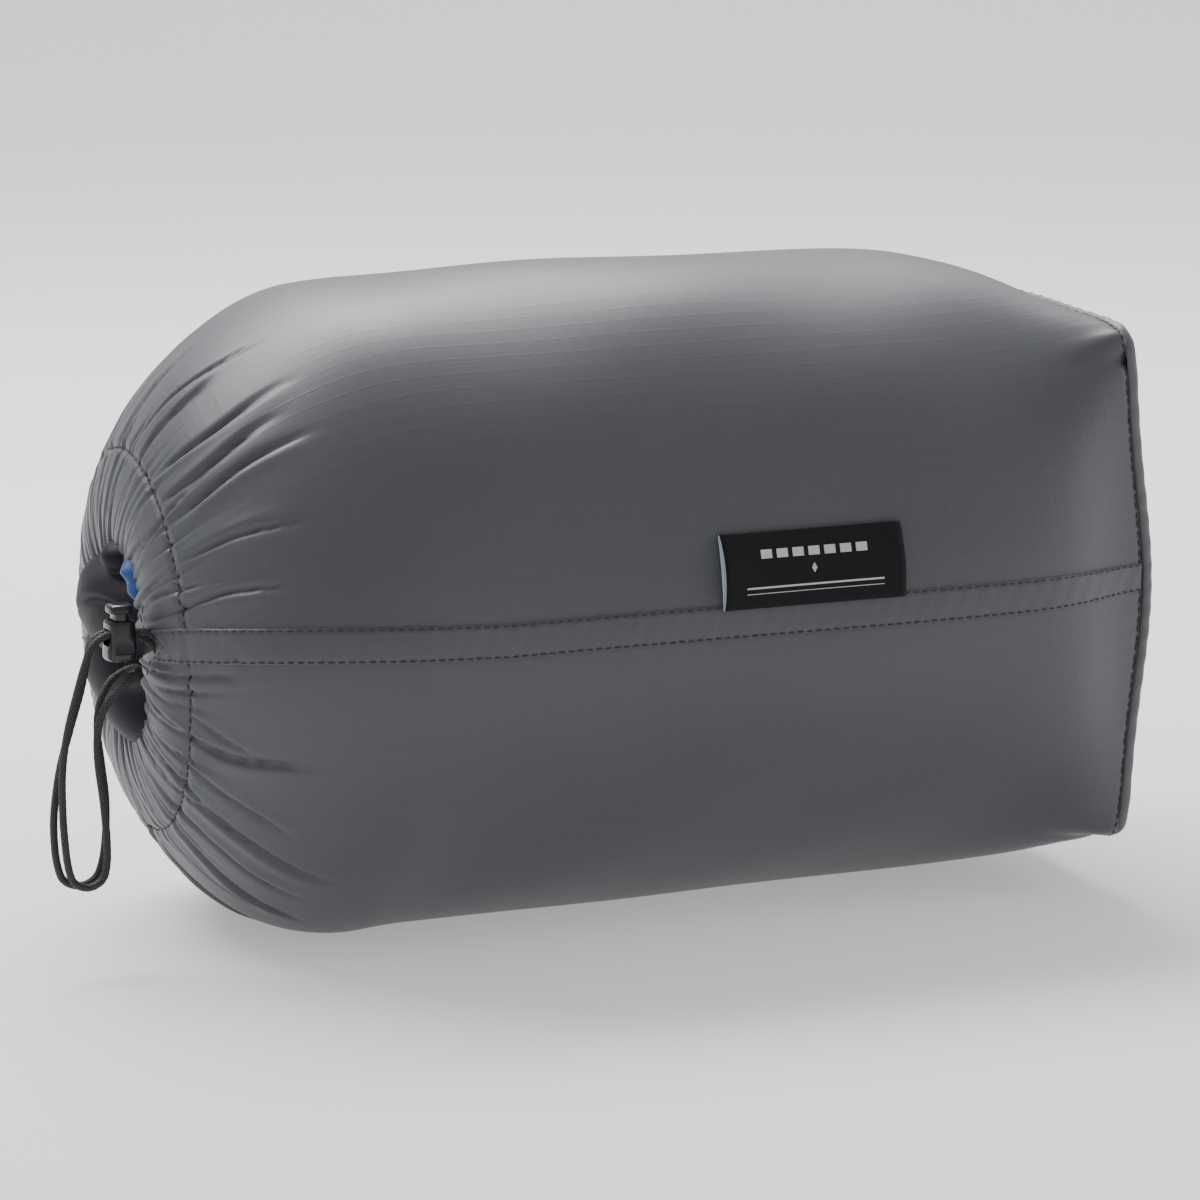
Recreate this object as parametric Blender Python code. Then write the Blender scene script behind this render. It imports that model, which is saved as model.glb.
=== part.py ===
"""A camp quilt of down, stuffed into its drawcord sack, which lies on its side.

Metres, +Z up. X runs along the sack, from the gathered mouth at -X to the square base at +X.
The origin is on the floor under the middle of the sack.
"""

import math

import bmesh
import bpy
import numpy as np
from mathutils import Matrix, Vector

MM = 0.001
WELD = 0.004  # points closer than this, in millimetres, are one

# The sack, in millimetres.
BODY_RADIUS = 86.4
SQUARE_POWER = 12.0  # how square the base is, and over what length that fades into the round
SQUARE_FADE = 8.5
SHOULDER_START = 205.9  # distance from the base where the body begins to close in
SHOULDER_LENGTH = 66.5
SHOULDER_POWER = 1.87
STITCH_RADIUS = 50.6  # the ring of stitches between the side panel and the drawcord channel
RIM_RADIUS = 25.0
RIM_RISE = 5.5  # the rim stands this much further out than the stitch ring
MOUTH_DROP = 5.6
MOUTH_TURN = math.radians(5.5)
MOUTH_TIP = math.radians(3.0)
FABRIC = 0.8
GAP = 0.35
BASE_DOME = 11.0
BASE_BOW = 5.5
BASE_MIDDLE_X = 130.5  # where the base plane lies along X
AXIS_HEIGHT = BODY_RADIUS
# From the sack's own lines to the frame, whose origin is under the middle of everything but the cord.
FRAME_SHIFT = Vector((-0.075, 0.715, -1.66))

# The drawcord and its lock.
CORD_RADIUS = 1.0
CHANNEL_HALF = 1.9
EXIT_ANGLE = math.radians(172.0)  # from +Y, over the top
EXIT_HALF_GAP = math.radians(7.5)
CORD_RING_RADIUS = 30.0
LOCK_X = -144.0
LOCK_Y = -33.0
LOCK_BOTTOM = AXIS_HEIGHT - 4.0
LOCK_BODY_HEIGHT = 10.3
LOCK_TRAVEL = 1.8
STRAND_HEIGHT = 7.0
STRAND_OFFSET = 1.15
WINDOW_HEIGHT = 4.4
WINDOW_BOTTOM = 3.9
WINDOW_WIDTH = 4.9

# The side seam and its label.
SEAM_ANGLE = math.radians(178.0)
SEAM_WIDTH = 9.0
SEAM_THICKNESS = 0.5
LABEL_FROM_BASE = 77.0
LABEL_LENGTH = 52.0
LABEL_HEIGHT = 19.0
LABEL_HINGE_LIFT = 1.6  # height over the sack of the line the label turns about

# The quilt inside.
QUILT_INSET = 1.5
QUILT_END = 1.8
QUILT_SHELL = 0.6
FILL_INSET = QUILT_SHELL + 0.6
SLIT_HALF = math.radians(1.2)
BULGE = 9.0
CHAMBERS = 4
LINING_HALF = 1.0
LINING_SHEET = 0.6
BAFFLE = 0.6
FOLD_Y = 70.0

AROUND = 32  # sides of the sack's tube
REST_SHARE = math.cos(2 * math.pi / AROUND)  # the sack lies flat this share of its radius down


def clear_scene():
    for thing in list(bpy.data.objects):
        bpy.data.objects.remove(thing)


def material(name, colour, roughness, metallic=0.0):
    made = bpy.data.materials.new(name)
    made.use_nodes = True
    shader = made.node_tree.nodes["Principled BSDF"]
    shader.inputs["Base Color"].default_value = (*colour, 1.0)
    shader.inputs["Roughness"].default_value = roughness
    shader.inputs["Metallic"].default_value = metallic
    return made


def sack_nylon(name):
    return material(name, (0.105, 0.112, 0.125), 0.5)


def shell_nylon(name):
    return material(name, (0.045, 0.045, 0.055), 0.55)


def lining_nylon(name):
    return material(name, (0.04, 0.1, 0.25), 0.5)


def down_fill(name):
    return material(name, (0.85, 0.83, 0.78), 0.95)


def baffle_mesh(name):
    return material(name, (0.7, 0.7, 0.7), 0.8)


def cord_braid(name):
    return material(name, (0.01, 0.011, 0.013), 0.75)


def lock_plastic(name):
    return material(name, (0.012, 0.013, 0.015), 0.3)


def put(name, mesh, look, origin=(0.0, 0.0, 0.0), smooth=True):
    """An object of that mesh, whose points are in millimetres, with its origin where told."""
    place = Vector(origin)
    mesh.transform(Matrix.Scale(MM, 4) @ Matrix.Translation(-place))
    if smooth:
        mesh.shade_smooth()
        mesh.set_sharp_from_angle(angle=math.radians(40))
    mesh.materials.append(look(name))
    made = bpy.data.objects.new(name, mesh)
    made.location = (place + FRAME_SHIFT) * MM
    bpy.context.scene.collection.objects.link(made)
    return made


def loft(name, rings, wrap=False, flip=False):
    """A closed mesh over rings of points. Its ends are capped, or meet each other with wrap.

    Every patch is split along the same diagonal, or the other one with flip, so that skins
    that lie over each other stay clear.
    """
    count = len(rings[0])
    bm = bmesh.new()
    rows = [[bm.verts.new(point) for point in ring] for ring in rings]
    pairs = list(zip(rows, rows[1:]))
    if wrap:
        pairs.append((rows[-1], rows[0]))
    for one, two in pairs:
        for i in range(count):
            j = (i + 1) % count
            a, b, c, d = one[i], one[j], two[j], two[i]
            if flip:
                a, b, c, d = b, c, d, a
            bm.faces.new((a, b, c))
            bm.faces.new((a, c, d))
    if not wrap:
        bm.faces.new(list(reversed(rows[0])))
        bm.faces.new(rows[-1])
    bmesh.ops.recalc_face_normals(bm, faces=bm.faces)
    if bm.calc_volume(signed=True) < 0:
        bmesh.ops.reverse_faces(bm, faces=bm.faces)
    mesh = bpy.data.meshes.new(name)
    bm.to_mesh(mesh)
    bm.free()
    return mesh


def box(low, high):
    mesh = bpy.data.meshes.new("box")
    bm = bmesh.new()
    bmesh.ops.create_cube(bm, size=1.0)
    size = Vector(high) - Vector(low)
    middle = (Vector(high) + Vector(low)) / 2
    for vert in bm.verts:
        vert.co = middle + Vector(a * b for a, b in zip(vert.co, size))
    bm.to_mesh(mesh)
    bm.free()
    return mesh


def without_slivers(mesh):
    """The same mesh in triangles, without the tiny edges that cuts leave behind."""
    bm = bmesh.new()
    bm.from_mesh(mesh)
    bmesh.ops.remove_doubles(bm, verts=bm.verts, dist=WELD)
    bmesh.ops.dissolve_degenerate(bm, dist=WELD, edges=bm.edges)
    bmesh.ops.triangulate(bm, faces=bm.faces)
    bm.to_mesh(mesh)
    bm.free()
    return mesh


def combine(mesh, steps):
    """The mesh after a row of Boolean steps, each an operation and the mesh that it works with."""
    subject = bpy.data.objects.new("subject", mesh)
    bpy.context.scene.collection.objects.link(subject)
    for operation, other in steps:
        tool = bpy.data.objects.new("tool", other)
        bpy.context.scene.collection.objects.link(tool)
        cut = subject.modifiers.new("cut", "BOOLEAN")
        cut.operation = operation
        cut.object = tool
        bpy.context.view_layer.update()
        result = bpy.data.meshes.new_from_object(
            subject.evaluated_get(bpy.context.evaluated_depsgraph_get())
        )
        subject.modifiers.clear()
        subject.data = result
        bpy.data.objects.remove(tool)
    bpy.data.objects.remove(subject)
    return without_slivers(result)


def section_radius(angles, distance):
    """How the tube's outline departs from round: square at the base, round along the body.

    Every outline has the same length, because the tube is one width of cloth.
    """
    power = 2.0 + SQUARE_POWER * np.exp(-np.asarray(distance) / SQUARE_FADE)
    fine = np.linspace(0.0, 2 * np.pi, 721)
    reach = (np.abs(np.cos(fine)) ** power + np.abs(np.sin(fine)) ** power) ** (-1 / power)
    outline = np.stack([reach * np.cos(fine), reach * np.sin(fine)], axis=1)
    around = np.linalg.norm(np.diff(outline, axis=0), axis=1).sum()
    own = (np.abs(np.cos(angles)) ** power + np.abs(np.sin(angles)) ** power) ** (-1 / power)
    return own * 2 * np.pi / around


def ease(value):
    value = min(1.0, max(0.0, value))
    return value * value * (3 - 2 * value)


def skin_point(distance, radius, angle):
    """A point in millimetres, from its distance to the base, its radius and its angle up from +Y."""
    reach = radius * float(section_radius(np.array([angle]), max(0.0, distance))[0])
    along = reach * math.cos(angle)
    up = reach * math.sin(angle)
    mouth = ease((distance - SHOULDER_START + 15.0) / (SHOULDER_LENGTH - 5.0))
    bow = BASE_BOW * math.cos(2 * angle) ** 2 * math.exp(-max(0.0, distance) / 20.0)
    x = BASE_MIDDLE_X - distance + bow * min(1.0, radius / BODY_RADIUS) ** 2
    x += mouth * (along * math.tan(MOUTH_TURN) - up * math.tan(MOUTH_TIP))
    flat = (BODY_RADIUS - shoulder_radius(distance) + radius) * REST_SHARE
    return Vector((x, along, AXIS_HEIGHT + max(up - MOUTH_DROP * mouth, -flat)))


def shoulder_radius(distance):
    part = min(1.0, max(0.0, distance - SHOULDER_START) / SHOULDER_LENGTH)
    return BODY_RADIUS * (1 - part**SHOULDER_POWER) ** (1 / SHOULDER_POWER)


def stitch_distance():
    share = (STITCH_RADIUS / BODY_RADIUS) ** SHOULDER_POWER
    return SHOULDER_START + SHOULDER_LENGTH * (1 - share) ** (1 / SHOULDER_POWER)


def inset(profile, depth):
    """The profile of distances and radii moved inwards, square to itself."""
    moved = []
    for i, (distance, radius) in enumerate(profile):
        before = profile[max(0, i - 1)]
        after = profile[min(len(profile) - 1, i + 1)]
        along = Vector((after[0] - before[0], after[1] - before[1])).normalized()
        moved.append((distance + along.y * depth, radius - along.x * depth))
    return moved


def angles_around(count, start=0.0):
    return [start + 2 * math.pi * i / count for i in range(count)]


def ring_at(distance, radius, angles):
    return [skin_point(distance, radius, angle) for angle in angles]


def body_profile(first, last):
    """Distances and radii of the sack's outer side between two distances from the base."""
    marks = [0.6, 4.0, 8.0, 13.0, 19.0, 27.0, 38.0, 60.0, 105.0, 155.0, 190.0]
    marks += [206.0, 218.0, 229.0, 238.0, 246.0, 252.0, 256.0]
    inner = [mark for mark in marks if first < mark < last]
    return [(mark, shoulder_radius(mark)) for mark in [first, *inner, last]]


def side_panel():
    outer = body_profile(0.6, stitch_distance() - 0.6)
    inner = inset(outer, FABRIC)
    angles = angles_around(AROUND)
    rings = [ring_at(*row, angles) for row in outer]
    rings += [ring_at(*row, angles) for row in reversed(inner)]
    put("sack_side_panel", loft("side", rings, wrap=True), sack_nylon)


def base_point(share, angle, lift):
    """A point of the domed square base, at a share of the way from its middle to its seam."""
    edge = skin_point(0.0, BODY_RADIUS, angle)
    bow = BASE_BOW * math.cos(2 * angle) ** 2
    x = BASE_MIDDLE_X + bow * share**2 + BASE_DOME * (1 - share**2) + lift
    return Vector((x, edge.y * share, AXIS_HEIGHT + (edge.z - AXIS_HEIGHT) * share))


def base_panel():
    shares = [0.12, 0.35, 0.6, 0.82, 0.965]
    angles = angles_around(AROUND)
    rings = [[base_point(share, angle, 0.5) for angle in angles] for share in shares]
    rings += [
        [base_point(share, angle, 0.5 - FABRIC) for angle in angles] for share in reversed(shares)
    ]
    put("sack_base_panel", loft("base", rings), sack_nylon)


def base_seam_binding():
    corners = [(0.0, -1.8), (0.0, 0.6), (1.8, 0.4), (1.8, -1.8)]
    rings = []
    for ahead, out in corners:
        ring = []
        for angle in angles_around(AROUND):
            edge = skin_point(0.0, BODY_RADIUS, angle)
            away = Vector((0.0, edge.y, edge.z - AXIS_HEIGHT)).normalized()
            ring.append(edge + away * out + Vector((ahead - 0.2, 0.0, 0.0)))
        rings.append(ring)
    put("base_seam_binding", loft("binding", rings, wrap=True), sack_nylon)


def seam_angle(distance):
    """The side seam runs straight along the body and swings up to the cord's exit at the mouth."""
    swing = ease((distance - SHOULDER_START + 20.0) / (SHOULDER_LENGTH + 5.0))
    return SEAM_ANGLE + (EXIT_ANGLE - SEAM_ANGLE) * swing


def surface_frame(distance, shift):
    """A point of the near side's outer surface, shift mm up from the side seam, and its outward direction."""
    radius = shoulder_radius(distance)
    angle = seam_angle(distance) - shift / radius
    point = skin_point(distance, radius, angle)
    ahead = skin_point(distance + 0.5, shoulder_radius(distance + 0.5), angle) - point
    across = skin_point(distance, radius, angle - 0.01) - point
    return point, ahead.cross(across).normalized() * -1


def side_seam():
    rings = []
    for distance, _ in body_profile(3.0, stitch_distance() - 2.0):
        ring = []
        top = GAP + SEAM_THICKNESS
        for shift, lift in ((-0.5, GAP), (0.5, GAP), (0.5, top), (-0.5, top)):
            point, out = surface_frame(distance, shift * SEAM_WIDTH)
            ring.append(point + out * lift)
        rings.append(ring)
    put("side_seam_fell", loft("fell", rings), sack_nylon)



def label_hinge():
    """The point on the seam's edge, midway along the label, that the label turns about."""
    point, out = surface_frame(LABEL_FROM_BASE + LABEL_LENGTH / 2, SEAM_WIDTH / 2 + 0.4)
    return point + out * LABEL_HINGE_LIFT


def label():
    low = SEAM_WIDTH / 2 + 0.4
    high = low + LABEL_HEIGHT
    outline = [(low, 0.4), (low + 7, 0.4), (low + 14, 0.4), (high - 0.7, 0.4), (high, 1.1)]
    outline += [(high - 0.7, 1.8), (low + 14, 1.8), (low + 7, 1.8), (low, 1.8)]
    outline += [(low, 1.4), (low + 7, 1.4), (low + 14, 1.4), (high - 0.9, 1.4), (high - 0.5, 1.1)]
    outline += [(high - 0.9, 0.8), (low + 14, 0.8), (low + 7, 0.8), (low, 0.8)]
    rings = []
    for step in range(7):
        distance = LABEL_FROM_BASE + LABEL_LENGTH * step / 6
        ring = []
        for shift, lift in outline:
            point, out = surface_frame(distance, shift)
            ring.append(point + out * lift)
        rings.append(ring)
    put("woven_label", loft("label", rings), label_weave, origin=label_hinge())


def label_weave(name):
    return material(name, (0.015, 0.016, 0.018), 0.8)


def channel_middle(radius, angle, lift=0.0):
    """A point of the drawcord channel's middle surface, lift mm out of it."""
    part = (STITCH_RADIUS - radius) / (STITCH_RADIUS - RIM_RADIUS)
    distance = stitch_distance() - CHANNEL_HALF + RIM_RISE * math.sin(part * math.pi / 2) + lift
    return skin_point(distance, radius, angle)


def drawcord_channel():
    outer = [(50.0, 0.9), (46.0, 1.9), (38.0, 1.9), (30.0, 1.9), (26.2, 1.35), (25.0, 0.0)]
    outer += [(26.2, -1.35), (30.0, -1.9), (38.0, -1.9), (46.0, -1.9), (50.0, -0.9)]
    inner = [(49.3, 0.3), (46.0, 1.3), (38.0, 1.3), (30.0, 1.3), (26.9, 0.9), (25.7, 0.0)]
    inner += [(26.9, -0.9), (30.0, -1.3), (38.0, -1.3), (46.0, -1.3), (49.3, -0.3)]
    first = EXIT_ANGLE - math.pi * 2 + EXIT_HALF_GAP
    last = EXIT_ANGLE - EXIT_HALF_GAP
    angles = [first + (last - first) * i / AROUND for i in range(AROUND + 1)]
    rings = [[channel_middle(r, angle, lift) for r, lift in outer] for angle in angles]
    rings += [[channel_middle(r, angle, lift) for r, lift in inner] for angle in reversed(angles)]
    put("drawcord_channel", loft("channel", rings, wrap=True), sack_nylon)


def smooth_route(points, spacing):
    """Points about spacing apart on the smooth curve through the route's points."""
    route = [Vector(point) for point in points]
    route = [route[0] * 2 - route[1], *route, route[-1] * 2 - route[-2]]
    fine = []
    for before, one, two, after in zip(route, route[1:], route[2:], route[3:]):
        for step in range(20):
            t = step / 20
            fine.append(
                (
                    one * 2
                    + (two - before) * t
                    + (before * 2 - one * 5 + two * 4 - after) * t**2
                    + (one * 3 - before - two * 3 + after) * t**3
                )
                / 2
            )
    fine.append(route[-2])
    along = np.concatenate([[0.0], np.cumsum([(b - a).length for a, b in zip(fine, fine[1:])])])
    count = max(2, round(along[-1] / spacing))
    marks = np.linspace(0.0, along[-1], count + 1)
    table = np.array(fine)
    return [Vector(np.interp(mark, along, table[:, k]) for k in range(3)) for mark in marks]


def cord(name, points, spacing):
    curve = bpy.data.curves.new(name, "CURVE")
    curve.dimensions = "3D"
    spline = curve.splines.new("POLY")
    route = smooth_route(points, spacing)
    spline.points.add(len(route) - 1)
    for spot, place in zip(spline.points, route):
        spot.co = (*((place + FRAME_SHIFT) * MM), 1.0)
    curve.bevel_depth = CORD_RADIUS * MM
    curve.bevel_resolution = 2
    curve.use_fill_caps = True
    curve.materials.append(cord_braid(name))
    made = bpy.data.objects.new(name, curve)
    bpy.context.scene.collection.objects.link(made)


def drawcord_in_channel():
    """From the lock into the channel's lower end, round the mouth, and out of its upper end."""
    height = LOCK_BOTTOM + STRAND_HEIGHT
    ends = []
    for side in (1, -1):
        y = LOCK_Y - side * STRAND_OFFSET
        straight = [Vector((LOCK_X + ahead, y, height)) for ahead in (0.3, 2.0, 3.6)]
        slot = channel_middle(35.5, EXIT_ANGLE - side * math.radians(3.0), 0.9)
        way = Vector(((LOCK_X + 5.4 + slot.x) / 2 - 0.6, (y + slot.y) / 2, (height + slot.z) / 2 + 0.7))
        inside = [
            channel_middle(radius, EXIT_ANGLE - side * math.radians(turn))
            for radius, turn in ((34.5, 8.0), (32.5, 14.0))
        ]
        ends.append([*straight, way, slot, *inside])
    first = EXIT_ANGLE - math.radians(22.0)
    last = EXIT_ANGLE - 2 * math.pi + math.radians(22.0)
    count = 22
    ring = [
        channel_middle(CORD_RING_RADIUS, first + (last - first) * i / count) for i in range(count + 1)
    ]
    cord("drawcord_in_channel", [*ends[0], *ring, *reversed(ends[1])], 2.9)


LOOP_DOWN = [
    # distance out from the lock's middle, and height over the lock's foot, down the outer branch
    (-0.3, 7.0),
    (-2.6, 7.0),
    (-5.4, 6.3),
    (-7.9, 3.9),
    (-9.4, -0.6),
    (-11.4, -8.0),
    (-14.2, -17.5),
    (-16.4, -27.5),
    (-17.3, -38.4),
    (-17.1, -46.6),
    (-16.3, -52.9),
    (-14.66, -56.86),
    (-10.7, -58.5),
    (-6.74, -56.86),
    (-5.1, -52.9),
    (-4.5, -46.0),
    (-4.8, -36.4),
    (-6.0, -26.0),
    (-6.4, -18.0),
    (-5.0, -11.6),
    (-1.8, -6.9),
]
# How far each strand hangs from the middle of the pair, where they part to turn back in a wide bight.
LOOP_ASIDE = [1.15, 1.3, 1.45, *[1.6] * 14, 1.7, 2.1, 3.0, 4.0]
BIGHT = [(1.0, 4.3, -4.8), (3.6, 3.2, -3.3), (4.7, 0.0, -2.6), (3.6, -3.2, -3.3), (1.0, -4.3, -4.8)]


def drawcord_loop():
    """The free end: both strands hang out of the lock, and the bight is tucked up behind it."""
    down = list(zip(LOOP_DOWN, LOOP_ASIDE))
    places = [(x, -aside, z) for (x, z), aside in down]
    places += [(x, -y, z) for x, y, z in BIGHT]
    places += [(x, aside, z) for (x, z), aside in reversed(down)]
    foot = Vector((LOCK_X, LOCK_Y, LOCK_BOTTOM))
    cord("drawcord_loop", [foot + Vector(place) for place in places], 4.0)


def rounded(half_x, half_y, height, count=28, power=3.0, middle=(LOCK_X, LOCK_Y)):
    """A level ring of points round the lock's axis, between an ellipse and a box in outline."""
    ring = []
    for angle in angles_around(count):
        c, s = math.cos(angle), math.sin(angle)
        reach = (abs(c) ** power + abs(s) ** power) ** (-1 / power)
        x = middle[0] + half_x * reach * c
        y = middle[1] + half_y * reach * s
        ring.append(Vector((x, y, LOCK_BOTTOM + height)))
    return ring


def strand_window(bottom, height):
    return box(
        (LOCK_X - 9, LOCK_Y - WINDOW_WIDTH / 2, LOCK_BOTTOM + bottom),
        (LOCK_X + 9, LOCK_Y + WINDOW_WIDTH / 2, LOCK_BOTTOM + bottom + height),
    )


def cord_lock():
    origin = (LOCK_X, LOCK_Y, LOCK_BOTTOM + STRAND_HEIGHT)
    top = LOCK_BODY_HEIGHT
    rings = [rounded(3.3, 3.6, 0.0), rounded(3.9, 4.2, 0.7), rounded(3.9, 4.2, 2.2)]
    rings += [rounded(3.7, 4.1, 7.0), rounded(3.6, 4.0, top - 0.5), rounded(3.3, 3.7, top)]
    bore = loft("bore", [rounded(2.3, 3.15, 0.9, 20, 5.0), rounded(2.3, 3.15, top + 2, 20, 5.0)])
    body = loft("lock", rings)
    body = combine(
        body, [("DIFFERENCE", bore), ("DIFFERENCE", strand_window(WINDOW_BOTTOM, WINDOW_HEIGHT))]
    )
    put("cord_lock_body", body, lock_plastic, origin)
    rings = [rounded(1.95, 2.8, 4.9, 20, 5.0), rounded(1.95, 2.8, top + 2.1, 20, 5.0)]
    rings += [rounded(3.2, 3.5, top + 2.1, 20, 3.0), rounded(3.2, 3.5, top + 3.7, 20, 3.0)]
    rings += [rounded(2.7, 3.0, top + 4.3, 20, 3.0)]
    plunger = combine(
        loft("plunger", rings),
        [("DIFFERENCE", strand_window(WINDOW_BOTTOM + LOCK_TRAVEL, WINDOW_HEIGHT))],
    )
    put("cord_lock_plunger", plunger, lock_plastic, origin)


def spring_steel(name):
    return material(name, (0.6, 0.6, 0.58), 0.3, 1.0)


def lock_spring():
    """A small wound spring between the floor of the lock's bore and the end of the plunger."""
    turns = 3
    steps = 14
    wire = 0.2
    radius = 1.35
    low = 1.3
    high = 4.4
    rings = []
    for i in range(turns * steps + 1):
        angle = 2 * math.pi * i / steps
        out = Vector((math.cos(angle), math.sin(angle), 0.0))
        height = LOCK_BOTTOM + low + (high - low) * i / (turns * steps)
        middle = Vector((LOCK_X, LOCK_Y, height)) + out * radius
        corners = [(1, 0), (0, 1), (-1, 0), (0, -1)]
        rings.append([middle + out * (wire * a) + Vector((0, 0, wire * b)) for a, b in corners])
    put("cord_lock_spring", loft("spring", rings), spring_steel, (LOCK_X, LOCK_Y, LOCK_BOTTOM))


def quilt_profile():
    """Distances and radii of the packed quilt, from the sack's base to the bulge out of its mouth."""
    body = inset(body_profile(2.0, 250.0), QUILT_INSET)
    rise = stitch_distance() - 2 * CHANNEL_HALF - 0.5
    mouth = [(rise + 0.4, 46.0), (rise + 3.0, 36.0), (rise + 4.2, 27.5), (rise + 6.2, 24.0)]
    tip = rise + 2 * CHANNEL_HALF + RIM_RISE
    mouth += [(tip + 2.5, 22.8), (tip + 0.62 * BULGE, 19.0), (tip + 0.9 * BULGE, 10.5)]
    mouth += [(tip + BULGE, 3.0)]
    return [*body, *mouth]


def quilt_rows(depth):
    """The quilt's profile moved inwards, with its flat end at the sack's base."""
    rows = inset(quilt_profile(), depth)
    end = QUILT_END + depth
    rows[0] = (end + 0.2, rows[0][1])
    rows[-1] = (rows[-1][0], 3.0)
    return [(end, 5.0), (end, 45.0), *rows]


def quilt_solid(depth):
    angles = angles_around(AROUND)
    return loft("quilt", [ring_at(*row, angles) for row in quilt_rows(depth)])


def slab(first, last, low, high, y_low=-120.0, y_high=120.0):
    """A box between two distances from the base and two heights over the sack's axis."""
    return box(
        (BASE_MIDDLE_X - last, y_low, AXIS_HEIGHT + low),
        (BASE_MIDDLE_X - first, y_high, AXIS_HEIGHT + high),
    )


def quilt_shell():
    """The outer fabric: folded double round the +Y side, open along its edges at -Y."""
    outer = quilt_rows(0.0)
    inner = quilt_rows(QUILT_SHELL)
    angles = angles_around(AROUND, -math.pi)
    angles = [SLIT_HALF - math.pi, *angles[1:], math.pi - SLIT_HALF]
    rings = []
    for angle in angles:
        rows = [*outer, *reversed(inner)]
        rings.append([skin_point(distance, radius, angle) for distance, radius in rows])
    put("quilt_outer_shell", loft("shell", rings, flip=True), shell_nylon)


def quilt_lining():
    """The inner fabric, folded face to face inside the shell."""
    steps = [
        ("INTERSECT", slab(-5.0, 290.0, -LINING_HALF, LINING_HALF)),
        (
            "DIFFERENCE",
            slab(-5.0, 290.0, LINING_SHEET - LINING_HALF, LINING_HALF - LINING_SHEET, -120.0, FOLD_Y),
        ),
    ]
    put("quilt_lining", combine(quilt_solid(FILL_INSET), steps), lining_nylon, smooth=False)


def down_chambers():
    """Down chambers across the quilt, in two layers, with a baffle wall between neighbours."""
    start = 1.0
    end = 280.0
    long = 266.0 / CHAMBERS
    fold = LINING_HALF + GAP
    layers = {"upper": (fold, 100.0), "lower": (-100.0, -fold)}
    for layer, (low, high) in layers.items():
        for i in range(CHAMBERS):
            first = start if i == 0 else i * long + BAFFLE / 2 + GAP
            last = end if i == CHAMBERS - 1 else (i + 1) * long - BAFFLE / 2 - GAP
            room = [("INTERSECT", slab(first, last, low, high))]
            name = f"{layer}_down_chamber_{i + 1}"
            put(name, combine(quilt_solid(FILL_INSET), room), down_fill)
        for i in range(1, CHAMBERS):
            room = [("INTERSECT", slab(i * long - BAFFLE / 2, i * long + BAFFLE / 2, low, high))]
            name = f"{layer}_baffle_wall_{i}"
            wall = combine(quilt_solid(FILL_INSET), room)
            put(name, wall, baffle_mesh, smooth=False)


def main():
    clear_scene()
    side_panel()
    base_panel()
    base_seam_binding()
    side_seam()
    label()
    drawcord_channel()
    drawcord_in_channel()
    drawcord_loop()
    cord_lock()
    lock_spring()
    quilt_shell()
    quilt_lining()
    down_chambers()


main()
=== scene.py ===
"""The camp quilt in its stuff sack: gathered ripstop, its drawcord and lock, and the down quilt inside.

Metres in the frame; the sack's own lines are worked out in millimetres and scaled at the end.
"""

import math

import bmesh
import bpy
import numpy as np
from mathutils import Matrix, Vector


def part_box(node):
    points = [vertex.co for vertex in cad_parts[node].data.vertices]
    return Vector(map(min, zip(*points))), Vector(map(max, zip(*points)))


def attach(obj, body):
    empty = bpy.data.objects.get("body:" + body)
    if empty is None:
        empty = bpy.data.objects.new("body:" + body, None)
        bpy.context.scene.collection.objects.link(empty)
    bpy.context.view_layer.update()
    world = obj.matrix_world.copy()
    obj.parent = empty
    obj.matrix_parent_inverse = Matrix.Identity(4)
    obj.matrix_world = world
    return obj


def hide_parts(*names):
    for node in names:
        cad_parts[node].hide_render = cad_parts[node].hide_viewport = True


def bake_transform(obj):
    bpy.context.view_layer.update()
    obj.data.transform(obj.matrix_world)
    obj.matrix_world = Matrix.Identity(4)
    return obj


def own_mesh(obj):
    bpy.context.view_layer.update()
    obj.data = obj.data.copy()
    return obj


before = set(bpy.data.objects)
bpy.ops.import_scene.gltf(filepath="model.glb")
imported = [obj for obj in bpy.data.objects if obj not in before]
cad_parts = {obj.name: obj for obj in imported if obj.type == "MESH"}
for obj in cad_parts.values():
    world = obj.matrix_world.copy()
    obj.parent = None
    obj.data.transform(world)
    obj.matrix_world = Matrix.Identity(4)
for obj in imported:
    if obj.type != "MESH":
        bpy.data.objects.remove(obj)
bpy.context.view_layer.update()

MM = 0.001

# The sack's shape, as in the frame, in millimetres.
BODY_RADIUS = 86.4
SQUARE_POWER = 12.0
SQUARE_FADE = 8.5
SHOULDER_START = 205.9
SHOULDER_LENGTH = 66.5
SHOULDER_POWER = 1.87
STITCH_RADIUS = 50.6
RIM_RADIUS = 25.0
RIM_RISE = 5.5
MOUTH_DROP = 5.6
MOUTH_TURN = math.radians(5.5)
MOUTH_TIP = math.radians(3.0)
BASE_BOW = 5.5
BASE_DOME = 11.0
EXIT_ANGLE = math.radians(172.0)
SEAM_ANGLE = math.radians(178.0)
SEAM_HALF = 4.6
STITCH_SHIFT = 4.0
CHANNEL_THICK = 3.8
REST_SHARE = math.cos(math.pi / 16)
LABEL_FROM_BASE = 77.0
LABEL_LENGTH = 52.0
LABEL_HEIGHT = 19.0

# Where the sack lies in the frame.
panel_low, panel_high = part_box("sack_side_panel")
BASE_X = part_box("base_seam_binding")[0][0] / MM + 0.2
AXIS_Y = (panel_low[1] + panel_high[1]) / 2 / MM
AXIS_Z = panel_high[2] / MM - BODY_RADIUS
lock_low, lock_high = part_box("cord_lock_body")
LOCK_X = (lock_low[0] + lock_high[0]) / 2 / MM
LOCK_Y = (lock_low[1] + lock_high[1]) / 2 / MM
LOCK_BOTTOM = lock_low[2] / MM


# ---------------------------------------------------------------- camera, floor and light


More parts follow.
